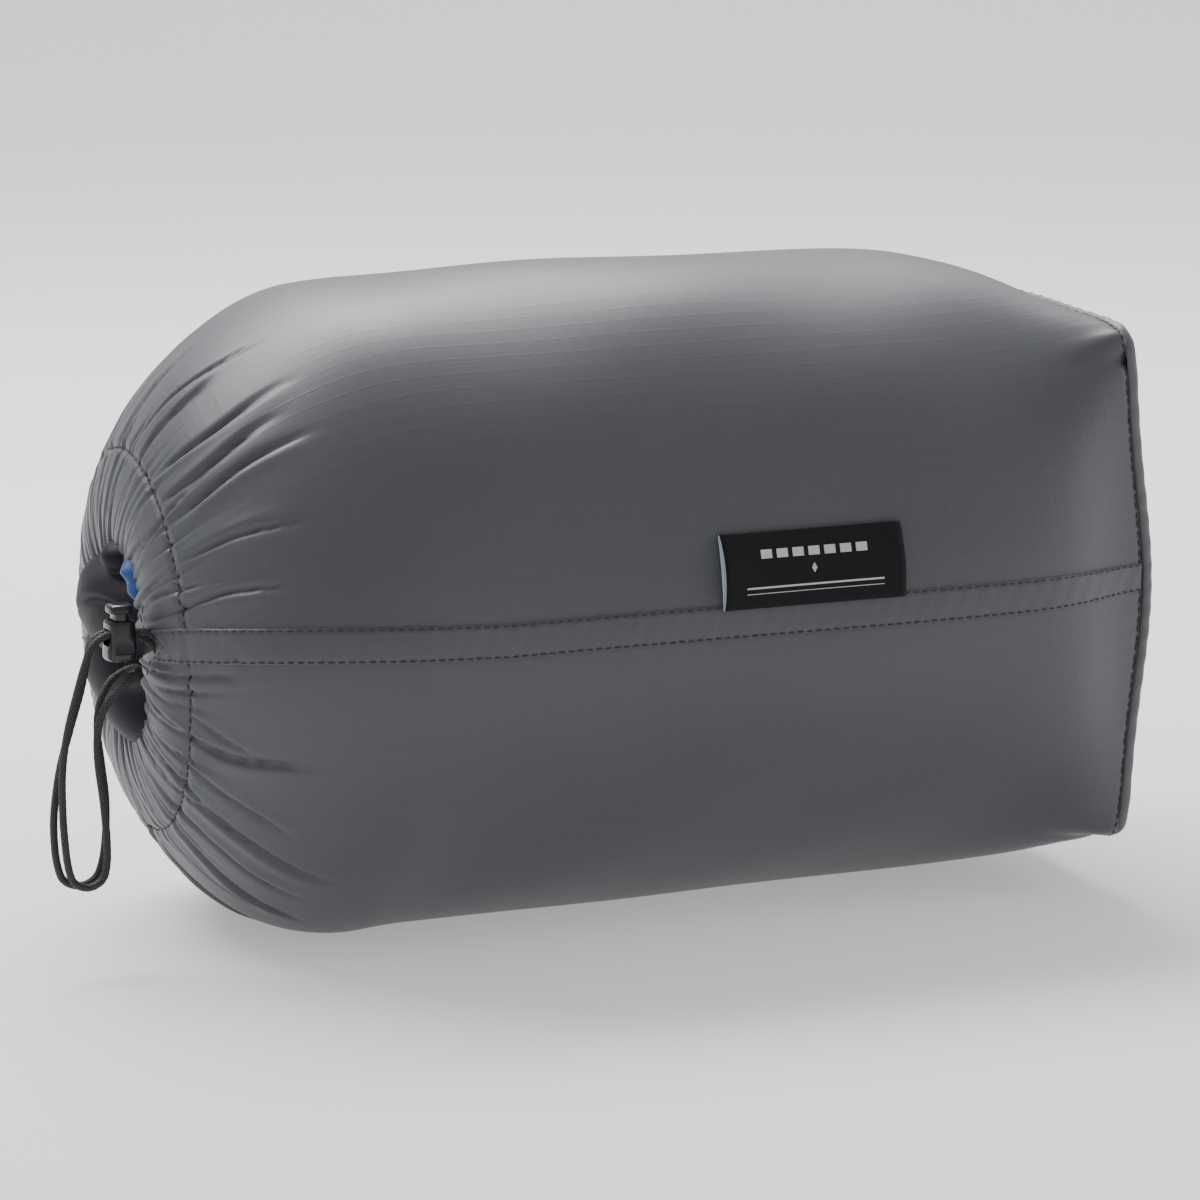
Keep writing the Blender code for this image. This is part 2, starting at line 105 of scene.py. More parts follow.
def camera():
    """A long lens at bench height, looking at the seam side with the mouth turned towards it."""
    azimuth, elevation, distance = math.radians(-24.9), math.radians(10.5), 1.6
    target = Vector((BASE_X - 124.0, AXIS_Y, AXIS_Z - 5.8)) * MM
    back = Vector(
        (
            math.sin(azimuth) * math.cos(elevation),
            -math.cos(azimuth) * math.cos(elevation),
            math.sin(elevation),
        )
    )
    data = bpy.data.cameras.new("camera")
    data.lens = 177.1
    data.sensor_width = 36.0
    data.clip_end = 50.0
    made = bpy.data.objects.new("camera", data)
    made.location = target + back * distance
    made.rotation_euler = back.to_track_quat("Z", "Y").to_euler()
    bpy.context.scene.collection.objects.link(made)
    bpy.context.scene.camera = made


def area_light(name, place, aim, size, power, colour=(1, 1, 1)):
    data = bpy.data.lights.new(name, "AREA")
    data.shape = "RECTANGLE"
    data.size, data.size_y = size
    data.energy = power
    data.color = colour
    made = bpy.data.objects.new(name, data)
    made.location = place
    made.rotation_euler = (Vector(place) - Vector(aim)).to_track_quat("Z", "Y").to_euler()
    bpy.context.scene.collection.objects.link(made)


def studio():
    bpy.ops.mesh.primitive_plane_add(size=30.0, location=(0, 6.0, 0))
    floor = bpy.context.object
    floor.name = "floor"
    floor.data.transform(floor.matrix_world)
    floor.matrix_world.identity()
    pale = bpy.data.materials.new("pale_floor")
    pale.use_nodes = True
    shader = pale.node_tree.nodes["Principled BSDF"]
    shader.inputs["Base Color"].default_value = (0.6, 0.6, 0.6, 1)
    shader.inputs["Emission Color"].default_value = (1, 1, 1, 1)
    shader.inputs["Emission Strength"].default_value = 0.4
    shader.inputs["Roughness"].default_value = 1.0
    shader.inputs["Specular IOR Level"].default_value = 0.0
    floor.data.materials.append(pale)
    world = bpy.data.worlds.new("studio")
    world.use_nodes = True
    world.node_tree.nodes["Background"].inputs["Color"].default_value = (1, 1, 1, 1)
    world.node_tree.nodes["Background"].inputs["Strength"].default_value = 0.6
    bpy.context.scene.world = world
    area_light("overhead", (-0.15, 0.75, 1.2), (0, 0, 0.1), (1.6, 0.5), 43.0)
    area_light("from_right", (1.3, -0.5, 0.6), (0.1, 0, 0.08), (0.5, 0.9), 5.0)
    area_light("far_floor", (1.2, 2.8, 2.0), (1.2, 2.8, 0.0), (4.0, 3.0), 60.0)


# ---------------------------------------------------------------- the sack's shape


def ease(value):
    value = np.clip(value, 0.0, 1.0)
    return value * value * (3 - 2 * value)


def outline(angles, distance):
    """Square at the base, round along the body, and of the same length all the way."""
    power = 2.0 + SQUARE_POWER * math.exp(-max(distance, 0.0) / SQUARE_FADE)
    fine = np.linspace(0.0, 2 * np.pi, 721)
    reach = (np.abs(np.cos(fine)) ** power + np.abs(np.sin(fine)) ** power) ** (-1 / power)
    ring = np.stack([reach * np.cos(fine), reach * np.sin(fine)], axis=1)
    length = np.linalg.norm(np.diff(ring, axis=0), axis=1).sum()
    own = (np.abs(np.cos(angles)) ** power + np.abs(np.sin(angles)) ** power) ** (-1 / power)
    return own * 2 * np.pi / length


def skin(distance, radius, angles):
    """Points in millimetres at one distance from the base, at radii and angles up from +Y."""
    reach = np.asarray(radius) * outline(angles, distance)
    along = reach * np.cos(angles)
    up = reach * np.sin(angles)
    mouth = ease((distance - SHOULDER_START + 15.0) / (SHOULDER_LENGTH - 5.0))
    bow = BASE_BOW * np.cos(2 * angles) ** 2 * math.exp(-max(distance, 0.0) / 20.0)
    x = BASE_X - distance + bow * np.minimum(1.0, np.asarray(radius) / BODY_RADIUS) ** 2
    x = x + mouth * (along * math.tan(MOUTH_TURN) - up * math.tan(MOUTH_TIP))
    flat = (BODY_RADIUS - float(shoulder_radius(distance)) + radius) * REST_SHARE
    return np.stack([x, AXIS_Y + along, AXIS_Z + np.maximum(up - MOUTH_DROP * mouth, -flat)], axis=-1)


def shoulder_radius(distance):
    part = np.clip((distance - SHOULDER_START) / SHOULDER_LENGTH, 0.0, 1.0)
    return BODY_RADIUS * (1 - part**SHOULDER_POWER) ** (1 / SHOULDER_POWER)


RING_DISTANCE = SHOULDER_START + SHOULDER_LENGTH * (
    1 - (STITCH_RADIUS / BODY_RADIUS) ** SHOULDER_POWER
) ** (1 / SHOULDER_POWER)


def rim_radius(angles):
    """The mouth's opening: nearly round, notched where the cord leaves, pushed out low in front."""
    notch = 12.0 * np.exp(-((wrap(angles - EXIT_ANGLE) / 0.085) ** 2))
    tongue = 5.5 * np.exp(-((wrap(angles - math.radians(200)) / 0.3) ** 2))
    brow = 5.0 * np.exp(-((wrap(angles - math.radians(138)) / 0.38) ** 2))
    waver = 0.7 * np.sin(7 * angles + 0.6) + 0.5 * np.sin(12 * angles + 2.0)
    return RIM_RADIUS - 1.5 + notch + tongue + brow + waver


def wrap(angle):
    return (angle + math.pi) % (2 * math.pi) - math.pi


def seam_angle(distance):
    swing = ease((distance - SHOULDER_START + 20.0) / (SHOULDER_LENGTH + 5.0))
    return SEAM_ANGLE + (EXIT_ANGLE - SEAM_ANGLE) * swing


# ---------------------------------------------------------------- folds of the gathered cloth

LONG_FOLD_COUNT = 34
LONG_FOLD_SEED = 11
HELD_BY_SEAM = math.radians(16)


def long_fold_table():
    """Folds that run out from the ring: angles at both ends, start, end, depth and half width in mm.

    They stand side by side all round, each a little out of step. Every second one is long. The seam
    keeps the cloth beside it flat, so the folds there are short.
    """
    draw = np.random.default_rng(LONG_FOLD_SEED)
    step = 2 * math.pi / LONG_FOLD_COUNT
    table = []
    for i in range(LONG_FOLD_COUNT):
        first = step * (i + 0.3 * draw.uniform(-1, 1))
        last = first + math.radians(draw.uniform(-3, 9))
        free = 1 - 0.7 * math.exp(-((wrap(first - SEAM_ANGLE) / HELD_BY_SEAM) ** 2))
        size = draw.uniform(0.85, 1.2) * (1.0 if i % 2 else 0.68) * free
        table.append((first, last, 3.5 * size, 50.0 * size, 2.5 * size, 1.2 + size))
    return table


def fold(across, width, lean=0.0):
    """A fold's section: a sharp valley with the cloth rolled up on both sides of it."""
    x = across / width
    lips = np.exp(-((x / 2.3) ** 2)) * (1.0 + lean * np.tanh(x))
    return 0.26 * lips - 1.1 * np.exp(-np.abs(x) * 2.1)


def long_folds(out, angles, radius):
    """Height of the long folds, out mm along the cloth from the ring of stitches."""
    height = np.zeros(np.broadcast(out, angles).shape)
    for i, (first, last, start, end, depth, width) in enumerate(long_fold_table()):
        part = np.clip(out / end, -0.3, 1.3)
        centre = first + (last - first) * part
        wander = 0.012 * np.sin(out / 7.0 + i)
        across = wrap(angles - centre - wander) * radius
        rise = ease((out - start + 6.0) / (0.35 * (end - start) + 6.0))
        fall = ease((end + 4.0 - out) / (0.55 * (end - start)))
        lean = 0.7 if i % 2 else -0.7
        height += 1.2 * depth * rise * fall * fold(across, width * (0.62 + 0.4 * part), lean)
    return height


def pleats(seed, count, width, jitter):
    """Sharp pleats side by side all round: each one's angle, strength, sway and width."""
    draw = np.random.default_rng(seed)
    spots = (np.arange(count) + jitter * draw.uniform(-0.5, 0.5, count)) * 2 * math.pi / count
    strong = draw.uniform(0.55, 1.25, count)
    sway = draw.uniform(-0.05, 0.05, count)
    return spots, strong, sway, width * draw.uniform(0.75, 1.3, count)


def pleat_height(table, out, angles, radius, reach):
    """Height of the short pleats, each fading with its own reach from the ring or the rim."""
    height = np.zeros(np.broadcast(out, angles).shape)
    for i, (spot, strong, sway, width) in enumerate(zip(*table)):
        across = wrap(angles - spot - sway * out / 12.0) * radius
        fade = np.exp(-np.abs(out) / (reach * strong))
        lean = 0.7 if i % 2 else -0.7
        height += strong * fade * fold(across, width, lean)
    return height


def near_exit(angles):
    """0 on the flat tab of cloth round the cord's exit, 1 elsewhere."""
    return 1 - np.exp(-((wrap(angles - EXIT_ANGLE - 0.02) / 0.13) ** 4))


def gathers(out, angles, radius):
    """All the folds' height in millimetres. out is below 0 on the drawcord channel."""
    ring_pleats = pleats(3, 58, 1.0, 0.9)
    rim_pleats = pleats(8, 66, 0.75, 0.9)
    away = near_exit(angles)
    height = long_folds(np.maximum(out, -4.0), angles, np.maximum(radius, 44.0)) * np.where(
        out < 0, np.exp(out / 9.0), 1.0
    )
    height += 1.7 * pleat_height(ring_pleats, out, angles, radius, 9.0) * away
    height += 2.0 * pleat_height(rim_pleats, out + 26.0, angles, radius, 11.0) * away
    return height


def soft_waves(distance, angles):
    """The slow unevenness of down under thin cloth."""
    waves = 0.55 * np.sin(2 * angles + distance / 31.0 + 0.4)
    waves += 0.42 * np.sin(3 * angles - distance / 23.0 + 2.1)
    waves += 0.30 * np.sin(5 * angles + distance / 17.0 + 4.0)
    waves += 0.20 * np.sin(8 * angles - distance / 13.0 + 1.0)
    return waves


def base_creases(distance, angles):
    """Puckers along the base seam and the pinched corners of the square."""
    edge = np.exp(-distance / 6.0)
    height = 0.16 * edge * np.sin(angles * 88 + 2.0 * np.sin(angles * 9))
    height -= 1.1 * np.exp(-((distance / 1.3) ** 2))
    for corner in (45, 135, 225, 315):
        across = wrap(angles - math.radians(corner)) * BODY_RADIUS
        near = np.exp(-((distance / 11.0) ** 2))
        height += 1.6 * near * np.exp(-((across / 3.0) ** 2))
        height -= 1.5 * near * np.exp(-(((across - 5.5) / 1.8) ** 2))
    return height


class Cloth:
    """The sack's tube as a grid: rows from the base seam over the mouth's rim and back inside."""

    def __init__(self, columns=480):
        self.angles = np.linspace(-math.pi, math.pi, columns, endpoint=False)
        self.rows = self.meridian()
        self.base = np.array([self.row_points(row) for row in self.rows])
        self.normals = self.grid_normals(self.base)
        self.points = self.base + self.normals * self.heights()[..., None]
        self.normals = self.grid_normals(self.points)

    def meridian(self):
        """(kind, distance or share of the channel, cloth length out from the ring) for each row."""
        along = np.concatenate([np.arange(0.0, 26.0, 1.15), np.arange(26.0, 186.0, 4.2)])
        shoulder = np.linspace(186.0, RING_DISTANCE, 2000)
        steps = np.hypot(np.diff(shoulder), np.diff(shoulder_radius(shoulder)))
        length = np.concatenate([[0.0], np.cumsum(steps)])
        marks = np.linspace(0.0, length[-1], 88)
        self.shoulder_length = length[-1]
        at = np.interp(marks, length, shoulder)
        rows = [("body", d, RING_DISTANCE - d + 12.0) for d in along]
        rows += [("body", d, length[-1] - m) for d, m in zip(at, marks)]
        rows += [("channel", share, -26.0 * share) for share in np.linspace(0.0, 1.0, 40)[1:]]
        rows += [("rim", turn, -26.0) for turn in np.linspace(0.0, math.pi, 8)[1:]]
        rows += [("inside", share, -26.0 * share) for share in np.linspace(1.0, 0.35, 12)[1:]]
        return rows

    def row_points(self, row):
        kind, where, _ = row
        if kind == "body":
            return skin(where, float(shoulder_radius(where)), self.angles)
        rim = rim_radius(self.angles)
        if kind == "rim":
            share, sink = 1.0, CHANNEL_THICK / 2 * (1 - math.cos(where))
            out = 1.6 * math.sin(where)
        else:
            share, out = where, 0.0
            sink = 0.0 if kind == "channel" else CHANNEL_THICK
        radius = STITCH_RADIUS + (rim - STITCH_RADIUS) * share - out
        rise = RIM_RISE * np.sin(np.minimum(1.0, (STITCH_RADIUS - radius) / 25.6) * math.pi / 2)
        flat = skin(RING_DISTANCE, radius, self.angles)
        flat[:, 0] -= rise - sink
        return flat

    def heights(self):
        height = np.zeros(self.base.shape[:2])
        for i, (kind, where, out) in enumerate(self.rows):
            radius = np.linalg.norm(self.base[i][:, 1:] - (AXIS_Y, AXIS_Z - MOUTH_DROP), axis=1)
            if kind == "body":
                under = np.exp(-((wrap(self.angles - 1.5 * math.pi) / 0.35) ** 2))
                height[i] = soft_waves(where, self.angles) * (1 - under)
                height[i] *= min(1.0, where / 20.0) * min(1.0, max(0.0, out / 25.0))
                if where < 40:
                    height[i] += base_creases(where, self.angles)
                if where > SHOULDER_START - 25.0:
                    height[i] += gathers(out, self.angles, radius)
            elif kind == "channel":
                height[i] = gathers(out, self.angles, radius)
                height[i] += 1.2 * math.sin(math.pi * where) * near_exit(self.angles)
            elif kind == "rim":
                height[i] = gathers(out, self.angles, radius) * math.cos(where / 2)
            height[i] -= 0.8 * math.exp(-((out / 1.1) ** 2))
        return height

    def grid_normals(self, grid):
        around = np.roll(grid, -1, axis=1) - np.roll(grid, 1, axis=1)
        down = np.gradient(grid, axis=0)
        normals = np.cross(down, around)
        normals /= np.linalg.norm(normals, axis=2, keepdims=True) + 1e-12
        middle = np.array([0.0, AXIS_Y, AXIS_Z])
        side = ((grid[20] - middle) * normals[20]).sum()
        return normals if side > 0 else -normals

    def spot(self, row, angle, lift=0.0):
        """A point lift mm above the cloth at a fractional row and an angle, and its normal there."""
        column = ((angle + math.pi) / (2 * math.pi) * len(self.angles)) % len(self.angles)
        i, j = int(row), int(column)
        i = min(i, len(self.rows) - 2)
        a, b = row - i, column - j
        k = (j + 1) % len(self.angles)
        mixed = []
        for grid in (self.points, self.normals):
            top = grid[i, j] * (1 - b) + grid[i, k] * b
            low = grid[i + 1, j] * (1 - b) + grid[i + 1, k] * b
            mixed.append(top * (1 - a) + low * a)
        normal = mixed[1] / np.linalg.norm(mixed[1])
        return mixed[0] + normal * lift, normal

    def row_of(self, distance):
        """The fractional row at a distance from the base along the body."""
        marks = [where for kind, where, _ in self.rows if kind == "body"]
        return float(np.interp(distance, marks, range(len(marks))))

    def channel_row(self, share):
        first = sum(kind == "body" for kind, _, _ in self.rows) - 1
        return first + share * 39.0


# ---------------------------------------------------------------- materials


class Nodes:
    """Short names for the nodes of one material or group."""

    def __init__(self, tree):
        self.tree = tree

    def add(self, kind, **values):
        made = self.tree.nodes.new(kind)
        for name, value in values.items():
            if hasattr(made, name):
                setattr(made, name, value)
            else:
                made.inputs[name.replace("_", " ")].default_value = value
        return made

    def link(self, source, target):
        self.tree.links.new(source, target)

    def math(self, operation, a, b=None, clamp=False):
        made = self.add("ShaderNodeMath", operation=operation, use_clamp=clamp)
        for socket, value in zip(made.inputs, (a, b)):
            if value is None:
                continue
            if isinstance(value, (int, float)):
                socket.default_value = value
            else:
                self.link(value, socket)
        return made.outputs[0]

    def mix(self, factor, first, second):
        made = self.add("ShaderNodeMix", data_type="RGBA")
        sockets = (made.inputs[0], made.inputs[6], made.inputs[7])
        for socket, value in zip(sockets, (factor, first, second)):
            if isinstance(value, (int, float)):
                socket.default_value = value
            elif isinstance(value, tuple):
                socket.default_value = (*value, 1)
            else:
                self.link(value, socket)
        return made.outputs[2]

    def stretched_noise(self, vector, scale, stretch, detail=3.0):
        mapped = self.add("ShaderNodeMapping")
        mapped.inputs["Scale"].default_value = stretch
        self.link(vector, mapped.inputs["Vector"])
        noise = self.add("ShaderNodeTexNoise", Scale=scale, Detail=detail)
        self.link(mapped.outputs[0], noise.inputs["Vector"])
        return noise.outputs["Fac"]


def group(name, outputs):
    """An empty node group that takes a vector; returns the group, its nodes and its vector."""
    made = bpy.data.node_groups.new(name, "ShaderNodeTree")
    made.interface.new_socket("Vector", in_out="INPUT", socket_type="NodeSocketVector")
    for output in outputs:
        made.interface.new_socket(output, in_out="OUTPUT", socket_type="NodeSocketFloat")
    nodes = Nodes(made)
    start = nodes.add("NodeGroupInput")
    end = nodes.add("NodeGroupOutput")
    return made, nodes, start.outputs["Vector"], end


def nylon_weave():
    """Thin ripstop: slubby threads both ways, a fine grid of doubled threads, and slow patchiness."""
    made, nodes, vector, end = group("nylon_weave", ("Shade", "Height"))
    warp = nodes.stretched_noise(vector, 1700.0, (1.0, 0.02, 1.0))
    weft = nodes.stretched_noise(vector, 1700.0, (0.02, 1.0, 1.0))
    patch = nodes.stretched_noise(vector, 26.0, (1.0, 1.0, 1.0), 2.0)
    threads = nodes.math("ADD", warp, weft)
    split = nodes.add("ShaderNodeSeparateXYZ")
    nodes.link(vector, split.inputs[0])
    grid = None
    for axis in ("X", "Y"):
        wave = nodes.math("SINE", nodes.math("MULTIPLY", split.outputs[axis], math.pi / 0.0052))
        line = nodes.math("POWER", nodes.math("ABSOLUTE", wave), 26.0)
        grid = line if grid is None else nodes.math("MAXIMUM", grid, line)
    shade = nodes.math("MULTIPLY", nodes.math("SUBTRACT", threads, 1.0), 0.3)
    shade = nodes.math("ADD", shade, nodes.math("MULTIPLY", nodes.math("SUBTRACT", patch, 0.5), 0.25))
    shade = nodes.math("ADD", shade, nodes.math("MULTIPLY", grid, 0.05))
    nodes.link(shade, end.inputs["Shade"])
    height = nodes.math("ADD", threads, nodes.math("MULTIPLY", grid, 0.5))
    nodes.link(height, end.inputs["Height"])
    return made


def braid():
    """Strands of a round braid, from a vector whose X runs round the cord and Y along it in metres. Its Shade
    is a painted highlight: small glint specks where both strands are high, and the cord's own black
    elsewhere.
    """
    made, nodes, vector, end = group("braid", ("Shade", "Height"))
    split = nodes.add("ShaderNodeSeparateXYZ")
    nodes.link(vector, split.inputs[0])
    around = nodes.math("MULTIPLY", split.outputs["X"], 8 * math.pi)
    along = nodes.math("MULTIPLY", split.outputs["Y"], math.pi / 0.0011)
    one = nodes.math("ABSOLUTE", nodes.math("SINE", nodes.math("ADD", along, around)))
    other = nodes.math("ABSOLUTE", nodes.math("SINE", nodes.math("SUBTRACT", along, around)))
    height = nodes.math("MAXIMUM", one, other)
    nodes.link(height, end.inputs["Height"])
    # painted highlight: Shade is bright only where both strands are high, as glint specks
    nodes.link(nodes.math("POWER", nodes.math("MINIMUM", one, other), 3.0), end.inputs["Shade"])
    return made


WEAVE = nylon_weave()
BRAID_AND_GLINTS = braid()


def material(name, colour, roughness, metallic=0.0, coat=0.0):
    """A new material, its nodes and its shader."""
    made = bpy.data.materials.new(name)
    made.use_nodes = True
    shader = made.node_tree.nodes["Principled BSDF"]
    shader.inputs["Base Color"].default_value = (*colour, 1)
    shader.inputs["Roughness"].default_value = roughness
    shader.inputs["Metallic"].default_value = metallic
    shader.inputs["Coat Weight"].default_value = coat
    return made, Nodes(made.node_tree), shader


def finish_look(nodes, shader, colours, shade, height, distance, strength=1.0, rough=None):
    """The shade, from about -1 to 1, mixes two colours, and the height becomes a bump."""
    factor = nodes.math("ADD", shade, 0.5, clamp=True)
    nodes.link(nodes.mix(factor, *colours), shader.inputs["Base Color"])
    if rough:
        low, high = rough
        value = nodes.math("ADD", nodes.math("MULTIPLY", factor, high - low), low)
        nodes.link(value, shader.inputs["Roughness"])
    bump = nodes.add("ShaderNodeBump", Strength=strength, Distance=distance)
    nodes.link(height, bump.inputs["Height"])
    nodes.link(bump.outputs[0], shader.inputs["Normal"])


def cloth_look(name, dark, light, rough=(0.36, 0.46), bump=0.00006, shine=0.27, sheen=0.08):
    """Thin nylon, laid out on the piece's own UV map in metres."""
    made, nodes, shader = material(name, light, 0.5)
    uv = nodes.add("ShaderNodeUVMap", uv_map="cloth")
    weave = nodes.add("ShaderNodeGroup", node_tree=WEAVE)
    nodes.link(uv.outputs[0], weave.inputs["Vector"])
    finish_look(
        nodes, shader, (dark, light), weave.outputs["Shade"], weave.outputs["Height"], bump, 0.5, rough
    )
    shader.inputs["Specular IOR Level"].default_value = shine
    shader.inputs["Sheen Weight"].default_value = sheen
    shader.inputs["Sheen Roughness"].default_value = 0.4
    return made


def thread_look(name, dark, light):
    made, nodes, shader = material(name, light, 0.6)
    place = nodes.add("ShaderNodeTexCoord").outputs["Object"]
    noise = nodes.stretched_noise(place, 2400.0, (1.0, 1.0, 1.0))
    finish_look(nodes, shader, (dark, light), nodes.math("SUBTRACT", noise, 0.5), noise, 0.00006)
    return made


def cord_look_painted_glints(name, dark, light):
    made, nodes, shader = material(name, light, 0.6)
    uv = nodes.add("ShaderNodeUVMap", uv_map="cloth")
    strands = nodes.add("ShaderNodeGroup", node_tree=BRAID_AND_GLINTS)
    nodes.link(uv.outputs[0], strands.inputs["Vector"])
    # painted highlight: the braid's glint specks mix the dark cord colour towards the light one
    shade = nodes.math("SUBTRACT", strands.outputs["Shade"], 0.5)
    finish_look(nodes, shader, (dark, light), shade, strands.outputs["Height"], 0.0003)
    return made


def plastic_look(name, colour, light):
    """Moulded plastic: glossy, with a faint mould grain and handling marks."""
    made, nodes, shader = material(name, colour, 0.24, coat=0.12)
    shader.inputs["Specular IOR Level"].default_value = 0.38
    place = nodes.add("ShaderNodeTexCoord").outputs["Object"]
    grain = nodes.stretched_noise(place, 1500.0, (1.0, 1.0, 1.0))
    marks = nodes.stretched_noise(place, 320.0, (1.0, 1.0, 0.3), 4.0)
    shade = nodes.math("SUBTRACT", nodes.math("MULTIPLY", marks, 0.7), 0.35)
    finish_look(nodes, shader, (colour, light), shade, grain, 0.00002, 0.5, (0.16, 0.3))
    return made


def grain_look(name, dark, light, scale, stretch, roughness, bump, metallic=0.0):
    """Down, netting and wire: a plain stretched noise on the piece's own coordinates."""
    made, nodes, shader = material(name, light, roughness, metallic)
    place = nodes.add("ShaderNodeTexCoord").outputs["Object"]
    noise = nodes.stretched_noise(place, scale, stretch, 5.0)
    shade = nodes.math("MULTIPLY", nodes.math("SUBTRACT", noise, 0.5), 2.0)
    finish_look(nodes, shader, (dark, light), shade, noise, bump)
    return made


# ---------------------------------------------------------------- mesh helpers


def put(name, points, faces, look, body, uvs=None, smooth=True):
    """A piece from points in millimetres; uvs is one (u, v) in metres for each corner of each face."""
    mesh = bpy.data.meshes.new(name)
    mesh.from_pydata([tuple(Vector(p) * MM) for p in points], [], faces)
    if uvs is not None:
        layer = mesh.uv_layers.new(name="cloth")
        flat = np.array(uvs, np.float32).reshape(-1)
        layer.data.foreach_set("uv", flat)
    if smooth:
        mesh.shade_smooth()
    mesh.validate()
    looks = look if isinstance(look, (list, tuple)) else [look]
    for each in looks:
        mesh.materials.append(each)
    made = bpy.data.objects.new(name, mesh)
    bpy.context.scene.collection.objects.link(made)
    if body:
        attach(made, body)
    return made


def grid_faces(rows, columns, wrapped, flip=False):
    """Quads of a grid whose points run row by row."""
    faces = []
    last = columns if wrapped else columns - 1
    for i in range(rows - 1):
        for j in range(last):
            k = (j + 1) % columns
            quad = (i * columns + j, i * columns + k, (i + 1) * columns + k, (i + 1) * columns + j)
            faces.append(tuple(reversed(quad)) if flip else quad)
    return faces


def grid_uvs(faces, us, vs, columns, width):
    """A corner's U from its column, carried past the seam, and its V from its row."""
    uvs = []
    for face in faces:
        places = [(index // columns, index % columns) for index in face]
        over = max(j for _, j in places) - min(j for _, j in places) > 1
        for i, j in places:
            uvs.append((us[j] + (width if over and j == 0 else 0.0), vs[i]))
    return uvs


def outward(points, faces, inside):
    """Whether the first face looks away from a point inside."""
    a, b, c = (np.array(points[i]) for i in faces[len(faces) // 3][:3])
    return np.dot(np.cross(b - a, c - a), a - np.array(inside)) > 0


def grid_piece(name, grid, look, body, wrapped=True, inside=None, width=0.0, us=None):
    """A piece from a grid of points, its UVs measured along its first column and its widest row."""
    grid = np.asarray(grid, float)
    rows, columns = grid.shape[:2]
    points = grid.reshape(-1, 3)
    faces = grid_faces(rows, columns, wrapped)
    if inside is not None and not outward(points, faces, inside):
        faces = grid_faces(rows, columns, wrapped, True)
    steps = np.linalg.norm(np.diff(grid[:, columns // 2], axis=0), axis=1)
    vs = np.concatenate([[0.0], np.cumsum(steps)]) * MM
    if us is None:
        middle = grid[rows // 2]
        across = np.linalg.norm(np.diff(middle, axis=0), axis=1)
        us = np.concatenate([[0.0], np.cumsum(across)]) * MM
        width = us[-1] + (np.linalg.norm(middle[0] - middle[-1]) * MM if wrapped else 0.0)
    uvs = grid_uvs(faces, us, vs, columns, width)
    return put(name, points, faces, look, body, uvs)


def capsule(point, along, normal, length, thick, sides=6):
    """A stitch: a small rounded thread end to end, half sunk in the cloth."""
    along = np.array(along) / np.linalg.norm(along)
    side = np.cross(normal, along)
    rings = [(-0.5, 0.3, -0.5), (-0.3, 0.95, 0.0), (0.0, 1.1, 0.25), (0.3, 0.95, 0.0), (0.5, 0.3, -0.5)]
    points = []
    for where, size, lift in rings:
        for i in range(sides):
            angle = 2 * math.pi * i / sides
            off = side * math.cos(angle) + normal * math.sin(angle)
            points.append(
                point + along * where * length + off * size * thick / 2 + normal * lift * thick / 2
            )
    return points


def stitch_row(name, spots, look, body, length=1.9, thick=0.34):
    """Stitches at (point, direction, normal) triples, as one piece."""
    points, faces = [], []
    for point, along, normal in spots:
        start = len(points)
        points += capsule(point, along, normal, length, thick)
        for i in range(4):
            for j in range(6):
                k = (j + 1) % 6
                a, b = start + i * 6, start + (i + 1) * 6
                faces.append((a + j, b + j, b + k, a + k))
        faces.append(tuple(start + j for j in range(6)))
        faces.append(tuple(start + 24 + j for j in reversed(range(6))))
    piece = put(name, points, faces, look, body)
    shape = bmesh.new()
    shape.from_mesh(piece.data)
    bmesh.ops.recalc_face_normals(shape, faces=shape.faces)
    shape.to_mesh(piece.data)
    shape.free()
    return piece


def along_line(places, spacing):
    """Stitch places (point, direction, normal), spacing mm apart, along (point, normal) pairs."""
    spots = np.array([p for p, _ in places])
    normals = np.array([n for _, n in places])
    steps = np.linalg.norm(np.diff(spots, axis=0), axis=1)
    length = np.concatenate([[0.0], np.cumsum(steps)])
    found = []
    for mark in np.arange(spacing / 2, length[-1], spacing):
        at = [np.interp([mark - 0.4, mark, mark + 0.4], length, spots[:, k]) for k in range(3)]
        normal = np.array([np.interp(mark, length, normals[:, k]) for k in range(3)])
        before, here, after = np.array(at).T
        found.append((here, after - before, normal / np.linalg.norm(normal)))
    return found


def smooth_route(points, spacing):
    """Points about spacing apart on the smooth curve through the route's points."""
    route = [Vector(point) for point in points]
    route = [route[0] * 2 - route[1], *route, route[-1] * 2 - route[-2]]
    fine = []
    for before, one, two, after in zip(route, route[1:], route[2:], route[3:]):
        for step in range(20):
            t = step / 20
            bend = before * 2 - one * 5 + two * 4 - after
            turn = one * 3 - before - two * 3 + after
            fine.append((one * 2 + (two - before) * t + bend * t**2 + turn * t**3) / 2)
    fine.append(route[-2])
    along = np.concatenate([[0.0], np.cumsum([(b - a).length for a, b in zip(fine, fine[1:])])])
    marks = np.linspace(0.0, along[-1], max(2, round(along[-1] / spacing)) + 1)
    table = np.array(fine)
    return np.array([[np.interp(mark, along, table[:, k]) for k in range(3)] for mark in marks])


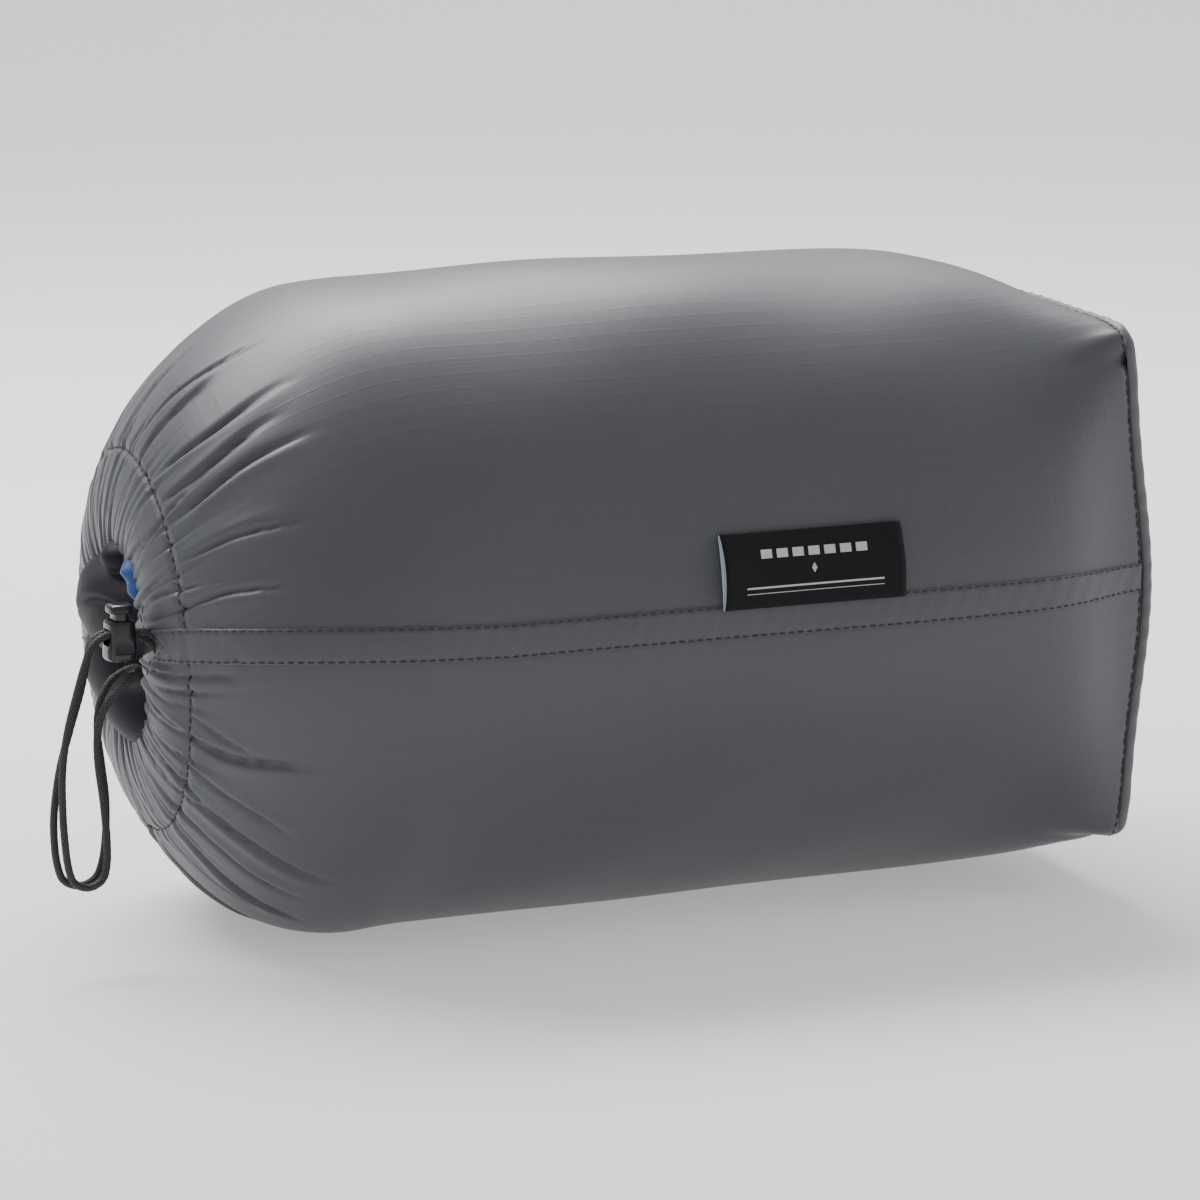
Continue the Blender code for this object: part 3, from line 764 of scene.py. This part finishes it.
def braided_tube(name, route, radius, look, body, sides=20):
    """A round braid: the tube's skin stands up in slanting strands. route is close set, in mm."""
    route = np.asarray(route)
    ahead = np.gradient(route, axis=0)
    ahead /= np.linalg.norm(ahead, axis=1, keepdims=True)
    side = np.cross(ahead[0], (0.0, 0.3, 1.0))
    length = np.concatenate([[0.0], np.cumsum(np.linalg.norm(np.diff(route, axis=0), axis=1))])
    rings = []
    for i, (middle, tangent) in enumerate(zip(route, ahead)):
        side = side - tangent * np.dot(side, tangent)
        side /= np.linalg.norm(side)
        other = np.cross(tangent, side)
        ring = []
        for j in range(sides):
            angle = 2 * math.pi * j / sides
            wave = abs(math.sin(length[i] / 1.1 * math.pi / 2 + 2 * angle))
            cross = abs(math.sin(length[i] / 1.1 * math.pi / 2 - 2 * angle))
            reach = radius * (0.9 + 0.12 * max(wave, cross))
            ring.append(middle + (side * math.cos(angle) + other * math.sin(angle)) * reach)
        rings.append(ring)
    columns = sides
    points = np.array(rings).reshape(-1, 3)
    faces = grid_faces(len(rings), columns, True)
    if not outward(points, faces, route[(len(faces) // 3) // columns]):
        faces = grid_faces(len(rings), columns, True, True)
    us = np.arange(sides) / sides
    uvs = grid_uvs(faces, us, length * MM, columns, 1.0)
    caps = [tuple(range(columns)), tuple(range(len(points) - columns, len(points)))]
    for cap in caps:
        faces.append(cap)
        uvs += [(0.0, 0.0)] * columns
    made = put(name, points, faces, look, body, uvs)
    shape = bmesh.new()
    shape.from_mesh(made.data)
    bmesh.ops.recalc_face_normals(shape, faces=shape.faces)
    shape.to_mesh(made.data)
    shape.free()
    return made


# ---------------------------------------------------------------- the sack's pieces


def sack_cloth(cloth, look):
    width = 2 * math.pi * BODY_RADIUS * MM
    us = (cloth.angles + math.pi) * BODY_RADIUS * MM
    made = grid_piece(
        "sack_tube_cloth", cloth.points, look, "sack", True, (0, AXIS_Y, AXIS_Z), width, us
    )
    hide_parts("sack_side_panel", "drawcord_channel")
    return made


def seam_rows(cloth):
    """Fractional rows along the side seam, with the seam's angle and radius, from base to rim."""
    found = []
    for distance in np.arange(2.0, RING_DISTANCE - 0.2, 1.2):
        radius = float(shoulder_radius(distance))
        found.append((cloth.row_of(distance), seam_angle(distance), radius))
    for share in np.linspace(0.02, 0.62, 12):
        radius = STITCH_RADIUS + (RIM_RADIUS + 9.0 - STITCH_RADIUS) * share
        found.append((cloth.channel_row(share), EXIT_ANGLE, radius))
    return found


# The felled seam's section: share of its half width, and height over the cloth.
SEAM_SECTION = [(-1, 0.05), (-0.92, 0.55), (-0.6, 0.6), (0, 0.72), (0.6, 0.6), (0.92, 0.55), (1, 0.05)]


def side_seam(cloth, look):
    """The felled seam: a flat band, raised over its stitches' puckers."""
    grid = []
    for step, (row, angle, radius) in enumerate(seam_rows(cloth)):
        line = []
        for shift, lift in SEAM_SECTION:
            ruckle = 0.14 * math.sin(step * 1.35 + shift * 2.0) * (1.0 if abs(shift) > 0.3 else 0.4)
            point, _ = cloth.spot(row, angle - shift * SEAM_HALF / radius, lift + ruckle)
            line.append(point)
        grid.append(line)
    made = grid_piece("side_seam_band", grid, look, "sack", False, (0, AXIS_Y, AXIS_Z))
    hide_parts("side_seam_fell")


def sack_stitching(cloth, look):
    for name, shift in (("seam_stitches_upper", 1), ("seam_stitches_lower", -1)):
        places = [
            cloth.spot(row, angle - shift * STITCH_SHIFT / radius, 0.75)
            for row, angle, radius in seam_rows(cloth)
        ]
        stitch_row(name, along_line(places, 2.6), look, "sack")
    row = cloth.channel_row(0.0)
    places = [cloth.spot(row, angle, 0.25) for angle in cloth.angles]
    stitch_row("channel_stitches", along_line(places, 2.6), look, "sack")
    places = [
        cloth.spot(cloth.channel_row(0.68), math.radians(angle), 0.45) for angle in range(154, 188, 2)
    ]
    stitch_row("exit_stitches", along_line(places, 2.6), look, "sack")
    places = [cloth.spot(cloth.row_of(1.9), angle, 0.2) for angle in cloth.angles]
    stitch_row("base_stitches", along_line(places, 2.6), look, "sack")


def base_cloth(look):
    """The square base, domed by the quilt behind it and puckered along its seam."""
    angles = np.linspace(-math.pi, math.pi, 240, endpoint=False)
    edge = skin(0.0, BODY_RADIUS, angles)
    bow = BASE_BOW * np.cos(2 * angles) ** 2
    grid = []
    for share in np.concatenate([np.linspace(0.0006, 0.85, 18), np.linspace(0.87, 0.992, 10)]):
        ring = np.empty((len(angles), 3))
        pucker = 0.45 * math.exp(-(1 - share) * 22) * np.sin(angles * 62 + 2 * np.sin(angles * 7))
        wave = 2.4 * np.sin(3 * angles + 3 * share) * share**3 * (1 - share)
        ring[:, 0] = BASE_X + bow * share**4 + BASE_DOME * (1 - share**2) + pucker + wave
        ring[:, 1:] = (AXIS_Y, AXIS_Z) + (edge[:, 1:] - (AXIS_Y, AXIS_Z)) * share
        grid.append(ring)
    made = grid_piece("sack_base_cloth", grid, look, "sack", True, (0, AXIS_Y, AXIS_Z))
    layer = made.data.uv_layers["cloth"].data
    for loop in made.data.loops:
        spot = made.data.vertices[loop.vertex_index].co
        layer[loop.index].uv = (spot.y, spot.z)
    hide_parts("sack_base_panel")


# The bound edge's section: along the sack, and out from the seam.
WELT_SECTION = [(-1.5, 0.1), (-1.3, 0.9), (-0.5, 1.3), (0.3, 1.3), (1.1, 0.9), (1.4, 0.1), (0.8, -0.9)]


def base_welt(look):
    """The base seam's allowance, turned out and bound all round."""
    angles = np.linspace(-math.pi, math.pi, 320, endpoint=False)
    edge = skin(0.0, BODY_RADIUS, angles)
    middle = np.array([0.0, AXIS_Y, AXIS_Z])
    out = edge - middle
    out[:, 0] = 0
    out /= np.linalg.norm(out, axis=1, keepdims=True)
    grid = []
    for along, rise in WELT_SECTION:
        ruckle = 0.16 * np.sin(angles * 74 + along)
        ring = edge + out * (rise + ruckle - 0.5)[:, None]
        ring[:, 0] += along + 0.3
        grid.append(ring)
    grid.append(grid[0])
    made = grid_piece("base_welt", grid, look, "sack", True, (BASE_X, AXIS_Y, AXIS_Z))
    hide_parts("base_seam_binding")


# ---------------------------------------------------------------- the label


def label_frame(cloth, along, shift):
    """A point on the cloth shift mm up from the side seam's middle, and the way out of it."""
    distance = LABEL_FROM_BASE + along * LABEL_LENGTH
    return cloth.spot(cloth.row_of(distance), SEAM_ANGLE - shift / BODY_RADIUS)


def label_height(along, up):
    """How far the folded tape's outer leaf stands off the sack: it lifts towards its open ends."""
    arch = math.sin(math.pi * up) ** 0.8
    return 1.3 + arch * (0.5 + 12.0 * max(0.0, along - 0.7) ** 2 + 3.0 * max(0.0, 0.15 - along))


def woven_label(cloth, black, pale, satin):
    """A strip of tape folded in half along its top, sewn into the seam by both its edges."""
    low = 3.2
    grid = []
    for along in np.linspace(0.0, 1.0, 31):
        line = []
        for up in np.linspace(0.0, 1.0, 15):
            point, normal = label_frame(cloth, along, low + up * LABEL_HEIGHT)
            line.append(point + normal * label_height(along, up))
        turn, normal = label_frame(cloth, along, low + LABEL_HEIGHT + 0.45)
        line.append(turn + normal * 0.95)
        for up in np.linspace(1.0, 0.0, 15):
            point, normal = label_frame(cloth, along, low + up * LABEL_HEIGHT)
            line.append(point + normal * 0.55)
        grid.append(line)
    made = grid_piece("label_tape", grid, [black, pale], "label", False, (0, AXIS_Y, AXIS_Z))
    thick = made.modifiers.new("thickness", "SOLIDIFY")
    thick.thickness = 0.3 * MM
    thick.offset = 0.0
    thick.use_rim = True
    thick.material_offset = 1
    thick.material_offset_rim = 1
    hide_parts("woven_label")
    motif(cloth, low, satin)
    return made


def motif(cloth, low, satin):
    """A plain woven motif in satin thread: a row of blocks, a small diamond and two lines."""
    points, faces = [], []

    def patch(first, last, bottom, top):
        start = len(points)
        steps = max(2, int((last - first) * 14))
        for i in range(steps + 1):
            along = first + (last - first) * i / steps
            for up in (bottom, top):
                spot, normal = label_frame(cloth, along, low + up * LABEL_HEIGHT)
                points.append(spot + normal * (label_height(along, up) + 0.24))
        for i in range(steps):
            a = start + 2 * i
            faces.append((a, a + 1, a + 3, a + 2))

    for step in range(7):
        start = 0.2 + step * 0.088
        patch(start, start + 0.062, 0.66, 0.78)
    for step in range(5):
        half = 0.014 * (1 - abs(step - 2) / 3)
        patch(0.5 - half, 0.5 + half, 0.43 + step * 0.024, 0.454 + step * 0.024)
    patch(0.12, 0.88, 0.26, 0.285)
    patch(0.12, 0.88, 0.19, 0.2)
    made = put("label_motif", points, faces, satin, "label")
    if not outward(points, faces, (0, AXIS_Y, AXIS_Z)):
        made.data.flip_normals()
    uv = made.data.uv_layers.new(name="cloth")
    for loop in made.data.loops:
        spot = made.data.vertices[loop.vertex_index].co
        uv.data[loop.index].uv = (spot.x, spot.z)


# ---------------------------------------------------------------- the quilt in the mouth


def lump(y, z, middle, size, height, sharp=2.0):
    """A rounded lobe of stuffed cloth over the mouth's plane."""
    far = ((y - middle[0]) / size[0]) ** 2 + ((z - middle[1]) / size[1]) ** 2
    return height * np.maximum(0.0, 1 - far ** (sharp / 2)) ** 0.5 - 3.0 * np.maximum(0.0, far - 1)


def quilt_height(y, z):
    """How far the quilt bulges past the channel's middle, with sharp clefts between its lobes."""
    lobes = [
        lump(y, z, (3.0, 8.5), (31.0, 16.5), 19.5),
        lump(y, z, (19.0, -10.0), (19.0, 17.0), 15.0),
        lump(y, z, (-10.0, -15.5), (21.0, 12.5), 18.0),
        lump(y, z, (-7.0, 23.5), (10.0, 6.5), 16.0),
        lump(y, z, (-22.0, -2.0), (12.0, 16.0), 9.0),
    ]
    height = np.maximum.reduce(lobes)
    tuck = 12.0 - 0.12 * y - 0.012 * (y + 4) ** 2
    height = height - 0.9 * np.exp(-(((z - tuck) / 0.9) ** 2)) * ease((20.0 - np.abs(y)) / 8.0)
    height = height + 0.15 * np.sin(0.35 * y + 0.5 * z)
    return np.maximum(height, -8.0) - 6.0


def quilt_packed(look):
    """The whole stuffed quilt: it fills the sack and shows in the mouth as soft lobes."""
    angles = np.linspace(-math.pi, math.pi, 200, endpoint=False)
    grid = []
    for radius in np.concatenate([np.linspace(0.05, 42.0, 60), [46.0, 50.0]]):
        flat = skin(RING_DISTANCE, radius, angles)
        y, z = radius * np.cos(angles), radius * np.sin(angles)
        fade = ease((48.0 - radius) / 16.0)
        flat[:, 0] -= quilt_height(y, z) * fade - 7.0 * (1 - fade)
        grid.append(flat)
    for distance in (250.0, 244.0, 236.0, 226.0, 214.0, 200.0, 180.0, 120.0, 60.0, 20.0, 6.0):
        grid.append(skin(distance, float(shoulder_radius(distance)) - 7.0, angles))
    edge = grid[-1]
    for share in (0.8, 0.5, 0.2, 0.0006):
        ring = edge.copy()
        ring[:, 1:] = (AXIS_Y, AXIS_Z) + (edge[:, 1:] - (AXIS_Y, AXIS_Z)) * share
        ring[:, 0] = BASE_X - 4.0
        grid.append(ring)
    made = grid_piece("quilt_packed", grid, look, "sack", True, (0, AXIS_Y, AXIS_Z))
    layer = made.data.uv_layers["cloth"].data
    for loop in made.data.loops:
        spot = made.data.vertices[loop.vertex_index].co
        layer[loop.index].uv = (spot.y + spot.x * 0.4, spot.z - spot.x * 0.6)
    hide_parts("quilt_outer_shell", "upper_down_chamber_4", "lower_down_chamber_4")


def lining_fold(look):
    """A fold of the quilt's inner fabric that shows beside the lobes."""
    middle = (-21.0, 20.5)
    grid = []
    for radius in np.linspace(0.02, 1.0, 16):
        ring = []
        for angle in np.linspace(-math.pi, math.pi, 64, endpoint=False):
            tilt = math.radians(52)
            a, b = 11.0 * radius * math.cos(angle), 4.6 * radius * math.sin(angle)
            y = middle[0] + a * math.cos(tilt) - b * math.sin(tilt)
            z = middle[1] + a * math.sin(tilt) + b * math.cos(tilt)
            reach, turn = math.hypot(y, z), math.atan2(z, y)
            point = skin(RING_DISTANCE, reach, np.array([turn]))[0]
            dome = 8.8 * math.sqrt(max(0.0, 1 - radius**2)) + 0.7 * math.sin(0.9 * a + 0.5 * b) * (1 - radius)
            point[0] -= dome - 1.0
            ring.append(point)
        grid.append(ring)
    made = grid_piece("lining_fold", grid, look, "sack", True, (0, AXIS_Y, AXIS_Z))
    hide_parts("quilt_lining")


# ---------------------------------------------------------------- the cord and its lock

LOOP_DOWN = [
    # distance out from the lock's middle, and height over the lock's foot, down the outer branch
    (-0.3, 7.0),
    (-2.6, 7.0),
    (-5.4, 6.3),
    (-7.9, 3.9),
    (-9.4, -0.6),
    (-11.4, -8.0),
    (-14.2, -17.5),
    (-16.4, -27.5),
    (-17.3, -38.4),
    (-17.1, -46.6),
    (-16.3, -52.9),
    (-14.66, -56.86),
    (-10.7, -58.5),
    (-6.74, -56.86),
    (-5.1, -52.9),
    (-4.5, -46.0),
    (-4.8, -36.4),
    (-6.0, -26.0),
    (-6.4, -18.0),
    (-5.0, -11.6),
    (-1.8, -6.9),
]
# How far each strand hangs from the middle of the pair, sideways and along X; they cross on the way.
LOOP_ASIDE = [1.15, 1.3, 1.45, *[1.6] * 14, 1.7, 2.1, 3.0, 4.0]
LOOP_APART = [0, 0, 0.1, 0.4, 0.8, 1.1, 0.9, 0.2, -0.6, -0.9, -0.9, -0.8, -0.6, -0.4, -0.1, 0.4, 0.9, 1, 0.7]
LOOP_APART += [0.4, 0]
BIGHT = [(1.0, 4.3, -4.8), (3.6, 3.2, -3.3), (4.7, 0.0, -2.6), (3.6, -3.2, -3.3), (1.0, -4.3, -4.8)]
STRAND_OFFSET = 1.15


def channel_middle(radius, angle, lift=0.0):
    part = (STITCH_RADIUS - radius) / (STITCH_RADIUS - RIM_RADIUS)
    point = skin(RING_DISTANCE, radius, np.array([angle]))[0]
    point[0] -= RIM_RISE * math.sin(part * math.pi / 2) + lift - CHANNEL_THICK / 2
    return point


def hanging_cord(look):
    """The free loop: both strands hang out of the lock and their bight is tucked up behind it."""
    down = list(zip(LOOP_DOWN, LOOP_ASIDE, LOOP_APART))
    places = [(x - apart, -aside, z) for (x, z), aside, apart in down]
    places += [(x, -y, z) for x, y, z in BIGHT]
    places += [(x + apart, aside, z) for (x, z), aside, apart in reversed(down)]
    route = [(LOCK_X + x, LOCK_Y + y, LOCK_BOTTOM + z) for x, y, z in places]
    fine = smooth_route(route, 0.4)
    made = braided_tube("cord_loop", fine, 1.0, look, "lock")
    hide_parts("drawcord_loop")


def channel_cord(look):
    """The cord's run from the lock into the channel's ends and round the mouth inside it."""
    ends = []
    for side in (1, -1):
        y = LOCK_Y - side * STRAND_OFFSET
        height = LOCK_BOTTOM + 7.0
        straight = [np.array((LOCK_X + ahead, y, height)) for ahead in (0.3, 2.0, 3.6)]
        slot = channel_middle(35.5, EXIT_ANGLE - side * math.radians(3.0), 0.9)
        way = (np.array((LOCK_X + 5.4, y, height)) + slot) / 2 + np.array((-0.6, 0.0, 0.7))
        inside = [
            channel_middle(radius, EXIT_ANGLE - side * math.radians(turn))
            for radius, turn in ((34.5, 8.0), (32.5, 14.0))
        ]
        ends.append([*straight, way, slot, *inside])
    first = EXIT_ANGLE - math.radians(22.0)
    last = EXIT_ANGLE - 2 * math.pi + math.radians(22.0)
    ring = [channel_middle(31.0, first + (last - first) * i / 22) for i in range(23)]
    fine = smooth_route([*ends[0], *ring, *reversed(ends[1])], 0.5)
    made = braided_tube("channel_cord", fine, 1.0, look, None)
    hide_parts("drawcord_in_channel")
    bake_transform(made)


def ring_section(half_x, half_y, power, count=48):
    """A level ring of (x, y) between an ellipse and a box."""
    angles = np.arange(count) * 2 * math.pi / count
    reach = (np.abs(np.cos(angles)) ** power + np.abs(np.sin(angles)) ** power) ** (-1 / power)
    return np.stack([LOCK_X + half_x * reach * np.cos(angles), LOCK_Y + half_y * reach * np.sin(angles)], 1)


def turned(name, rows, look, body, power=3.4):
    """A closed moulding from (half x, half y, height) rows, from its foot up."""
    count = 48
    points, faces = [], []
    for half_x, half_y, height in rows:
        ring = ring_section(half_x, half_y, power, count)
        points += [(x, y, LOCK_BOTTOM + height) for x, y in ring]
    faces = grid_faces(len(rows), count, True)
    faces.append(tuple(reversed(range(count))))
    faces.append(tuple(range(len(points) - count, len(points))))
    made = put(name, points, faces, look, body)
    shape = bmesh.new()
    shape.from_mesh(made.data)
    bmesh.ops.recalc_face_normals(shape, faces=shape.faces)
    shape.to_mesh(made.data)
    shape.free()
    return made


def cut(target, kind, size, place, radius=0.25):
    """Cuts a rounded box or a round bore out of a moulding."""
    bpy.ops.object.select_all(action="DESELECT")
    where = tuple(Vector(place) * MM)
    if kind == "box":
        bpy.ops.mesh.primitive_cube_add(size=1.0, location=where)
    else:
        bpy.ops.mesh.primitive_cylinder_add(vertices=40, radius=0.5, depth=1.0, location=where)
    tool = bpy.context.object
    tool.scale = tuple(Vector(size) * MM)
    bpy.ops.object.transform_apply(location=False, rotation=False, scale=True)
    if kind == "box":
        bevel = tool.modifiers.new("round", "BEVEL")
        bevel.width = radius * MM
        bevel.segments = 2
        bpy.ops.object.modifier_apply(modifier=bevel.name)
    bpy.ops.object.select_all(action="DESELECT")
    target.select_set(True)
    bpy.context.view_layer.objects.active = target
    away = target.modifiers.new("cut", "BOOLEAN")
    away.operation = "DIFFERENCE"
    away.solver = "EXACT"
    away.object = tool
    bpy.ops.object.modifier_apply(modifier=away.name)
    bpy.data.objects.remove(tool)


def polish(piece, angle=38):
    bpy.ops.object.select_all(action="DESELECT")
    piece.select_set(True)
    bpy.context.view_layer.objects.active = piece
    bpy.ops.object.shade_smooth_by_angle(angle=math.radians(angle))


def cord_lock(look):
    """A push-button lock: a barrel with a strand window, ribs at its sides, and a domed button."""
    rows = [(3.1, 3.4, 0.0), (3.55, 3.85, 0.15), (3.85, 4.15, 0.5), (3.95, 4.25, 1.0), (3.95, 4.25, 2.4)]
    rows += [(3.8, 4.15, 4.6), (3.7, 4.08, 7.0), (3.6, 4.0, 9.4), (3.55, 3.95, 9.9), (3.3, 3.7, 10.3)]
    barrel = turned("lock_barrel", rows, look, "lock")
    centre = (LOCK_X, LOCK_Y)
    cut(barrel, "box", (4.7, 6.4, 12.0), (*centre, LOCK_BOTTOM + 0.9 + 6.0), 0.5)
    cut(barrel, "box", (18.0, 4.9, 4.4), (*centre, LOCK_BOTTOM + 6.1), 0.9)
    for side in (-1, 1):
        cut(barrel, "box", (5.2, 1.0, 4.6), (LOCK_X, LOCK_Y + side * 4.35, LOCK_BOTTOM + 4.2), 0.3)
    polish(barrel)
    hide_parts("cord_lock_body")
    rows = [(1.9, 2.75, 4.95), (1.95, 2.8, 5.2), (1.95, 2.8, 12.3), (3.0, 3.3, 12.35), (3.2, 3.5, 12.6)]
    rows += [(3.2, 3.5, 13.7), (3.05, 3.35, 14.15), (2.7, 3.0, 14.42), (1.9, 2.1, 14.56), (0.7, 0.8, 14.6)]
    button = turned("lock_button", rows, look, "button")
    cut(button, "box", (18.0, 4.9, 4.4), (*centre, LOCK_BOTTOM + 7.9), 0.9)
    polish(button)
    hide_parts("cord_lock_plunger")


def lock_spring(look):
    """The wound spring under the button."""
    low, high = 1.35, 4.35
    turns = np.linspace(0.0, 3.5 * 2 * math.pi, 140)
    route = np.stack(
        [
            LOCK_X + 1.35 * np.cos(turns),
            LOCK_Y + 1.35 * np.sin(turns),
            LOCK_BOTTOM + low + (high - low) * turns / turns[-1],
        ],
        1,
    )
    ahead = np.gradient(route, axis=0)
    ahead /= np.linalg.norm(ahead, axis=1, keepdims=True)
    grid = []
    for middle, tangent in zip(route, ahead):
        side = np.cross(tangent, (0.0, 0.0, 1.0))
        side /= np.linalg.norm(side)
        other = np.cross(side, tangent)
        angles = np.arange(10) * 2 * math.pi / 10
        grid.append([middle + 0.2 * (side * math.cos(a) + other * math.sin(a)) for a in angles])
    made = grid_piece("lock_spring", grid, look, "lock")
    shape = bmesh.new()
    shape.from_mesh(made.data)
    bmesh.ops.holes_fill(shape, edges=shape.edges)
    bmesh.ops.recalc_face_normals(shape, faces=shape.faces)
    shape.to_mesh(made.data)
    shape.free()
    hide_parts("cord_lock_spring")
    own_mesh(made)


# ---------------------------------------------------------------- everything, in order

camera()
studio()

sack_look = cloth_look("sack_nylon_cloth", (0.058, 0.06, 0.068), (0.086, 0.089, 0.1))
welt_look = cloth_look("sack_nylon_welt", (0.085, 0.086, 0.092), (0.13, 0.131, 0.14))
thread = thread_look("grey_thread", (0.012, 0.011, 0.011), (0.04, 0.036, 0.034))
shell_colours = ((0.01, 0.0095, 0.013), (0.018, 0.017, 0.023))
shell_look = cloth_look("quilt_shell_cloth", *shell_colours, (0.46, 0.56), shine=0.1, sheen=0.0)
lining_look = cloth_look("quilt_lining_cloth", (0.015, 0.05, 0.17), (0.032, 0.09, 0.3), (0.4, 0.55))
tape_black = cloth_look("label_black", (0.003, 0.003, 0.004), (0.01, 0.01, 0.012), (0.75, 0.9), shine=0.2)
tape_pale = cloth_look("label_pale", (0.36, 0.41, 0.5), (0.5, 0.56, 0.64), (0.6, 0.75))
satin = cloth_look("label_satin", (0.3, 0.31, 0.33), (0.55, 0.56, 0.58), (0.35, 0.5))
# the first colour is the cord's own black, the second is the painted glint on the braid's strands
braid_with_glints_look = cord_look_painted_glints("black_braid_painted_glints", (0.002, 0.0022, 0.0026), (0.09, 0.096, 0.105))
plastic = plastic_look("black_plastic", (0.006, 0.007, 0.008), (0.014, 0.016, 0.018))
down_look = grain_look("white_down", (0.6, 0.58, 0.53), (0.88, 0.86, 0.8), 260.0, (1, 1, 1), 0.95, 0.001)
net_look = grain_look("grey_netting", (0.3, 0.3, 0.31), (0.6, 0.6, 0.62), 900.0, (1, 1, 0.2), 0.8, 0.0002)
wire_colours = ((0.5, 0.5, 0.48), (0.68, 0.67, 0.65))
wire_look = grain_look("spring_wire", *wire_colours, 900.0, (1, 1, 0.1), 0.28, 0.00002, 1.0)

cord_lock(plastic)
lock_spring(wire_look)
hanging_cord(braid_with_glints_look)
channel_cord(braid_with_glints_look)

cloth = Cloth()
quilt_packed(shell_look)
lining_fold(lining_look)
sack_cloth(cloth, sack_look)
side_seam(cloth, sack_look)
base_cloth(sack_look)
base_welt(welt_look)
sack_stitching(cloth, thread)
woven_label(cloth, tape_black, tape_pale, satin)

for name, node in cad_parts.items():
    if node.hide_render:
        continue
    if "chamber" in name:
        node.data.materials[0] = down_look
    elif "baffle" in name:
        node.data.materials[0] = net_look
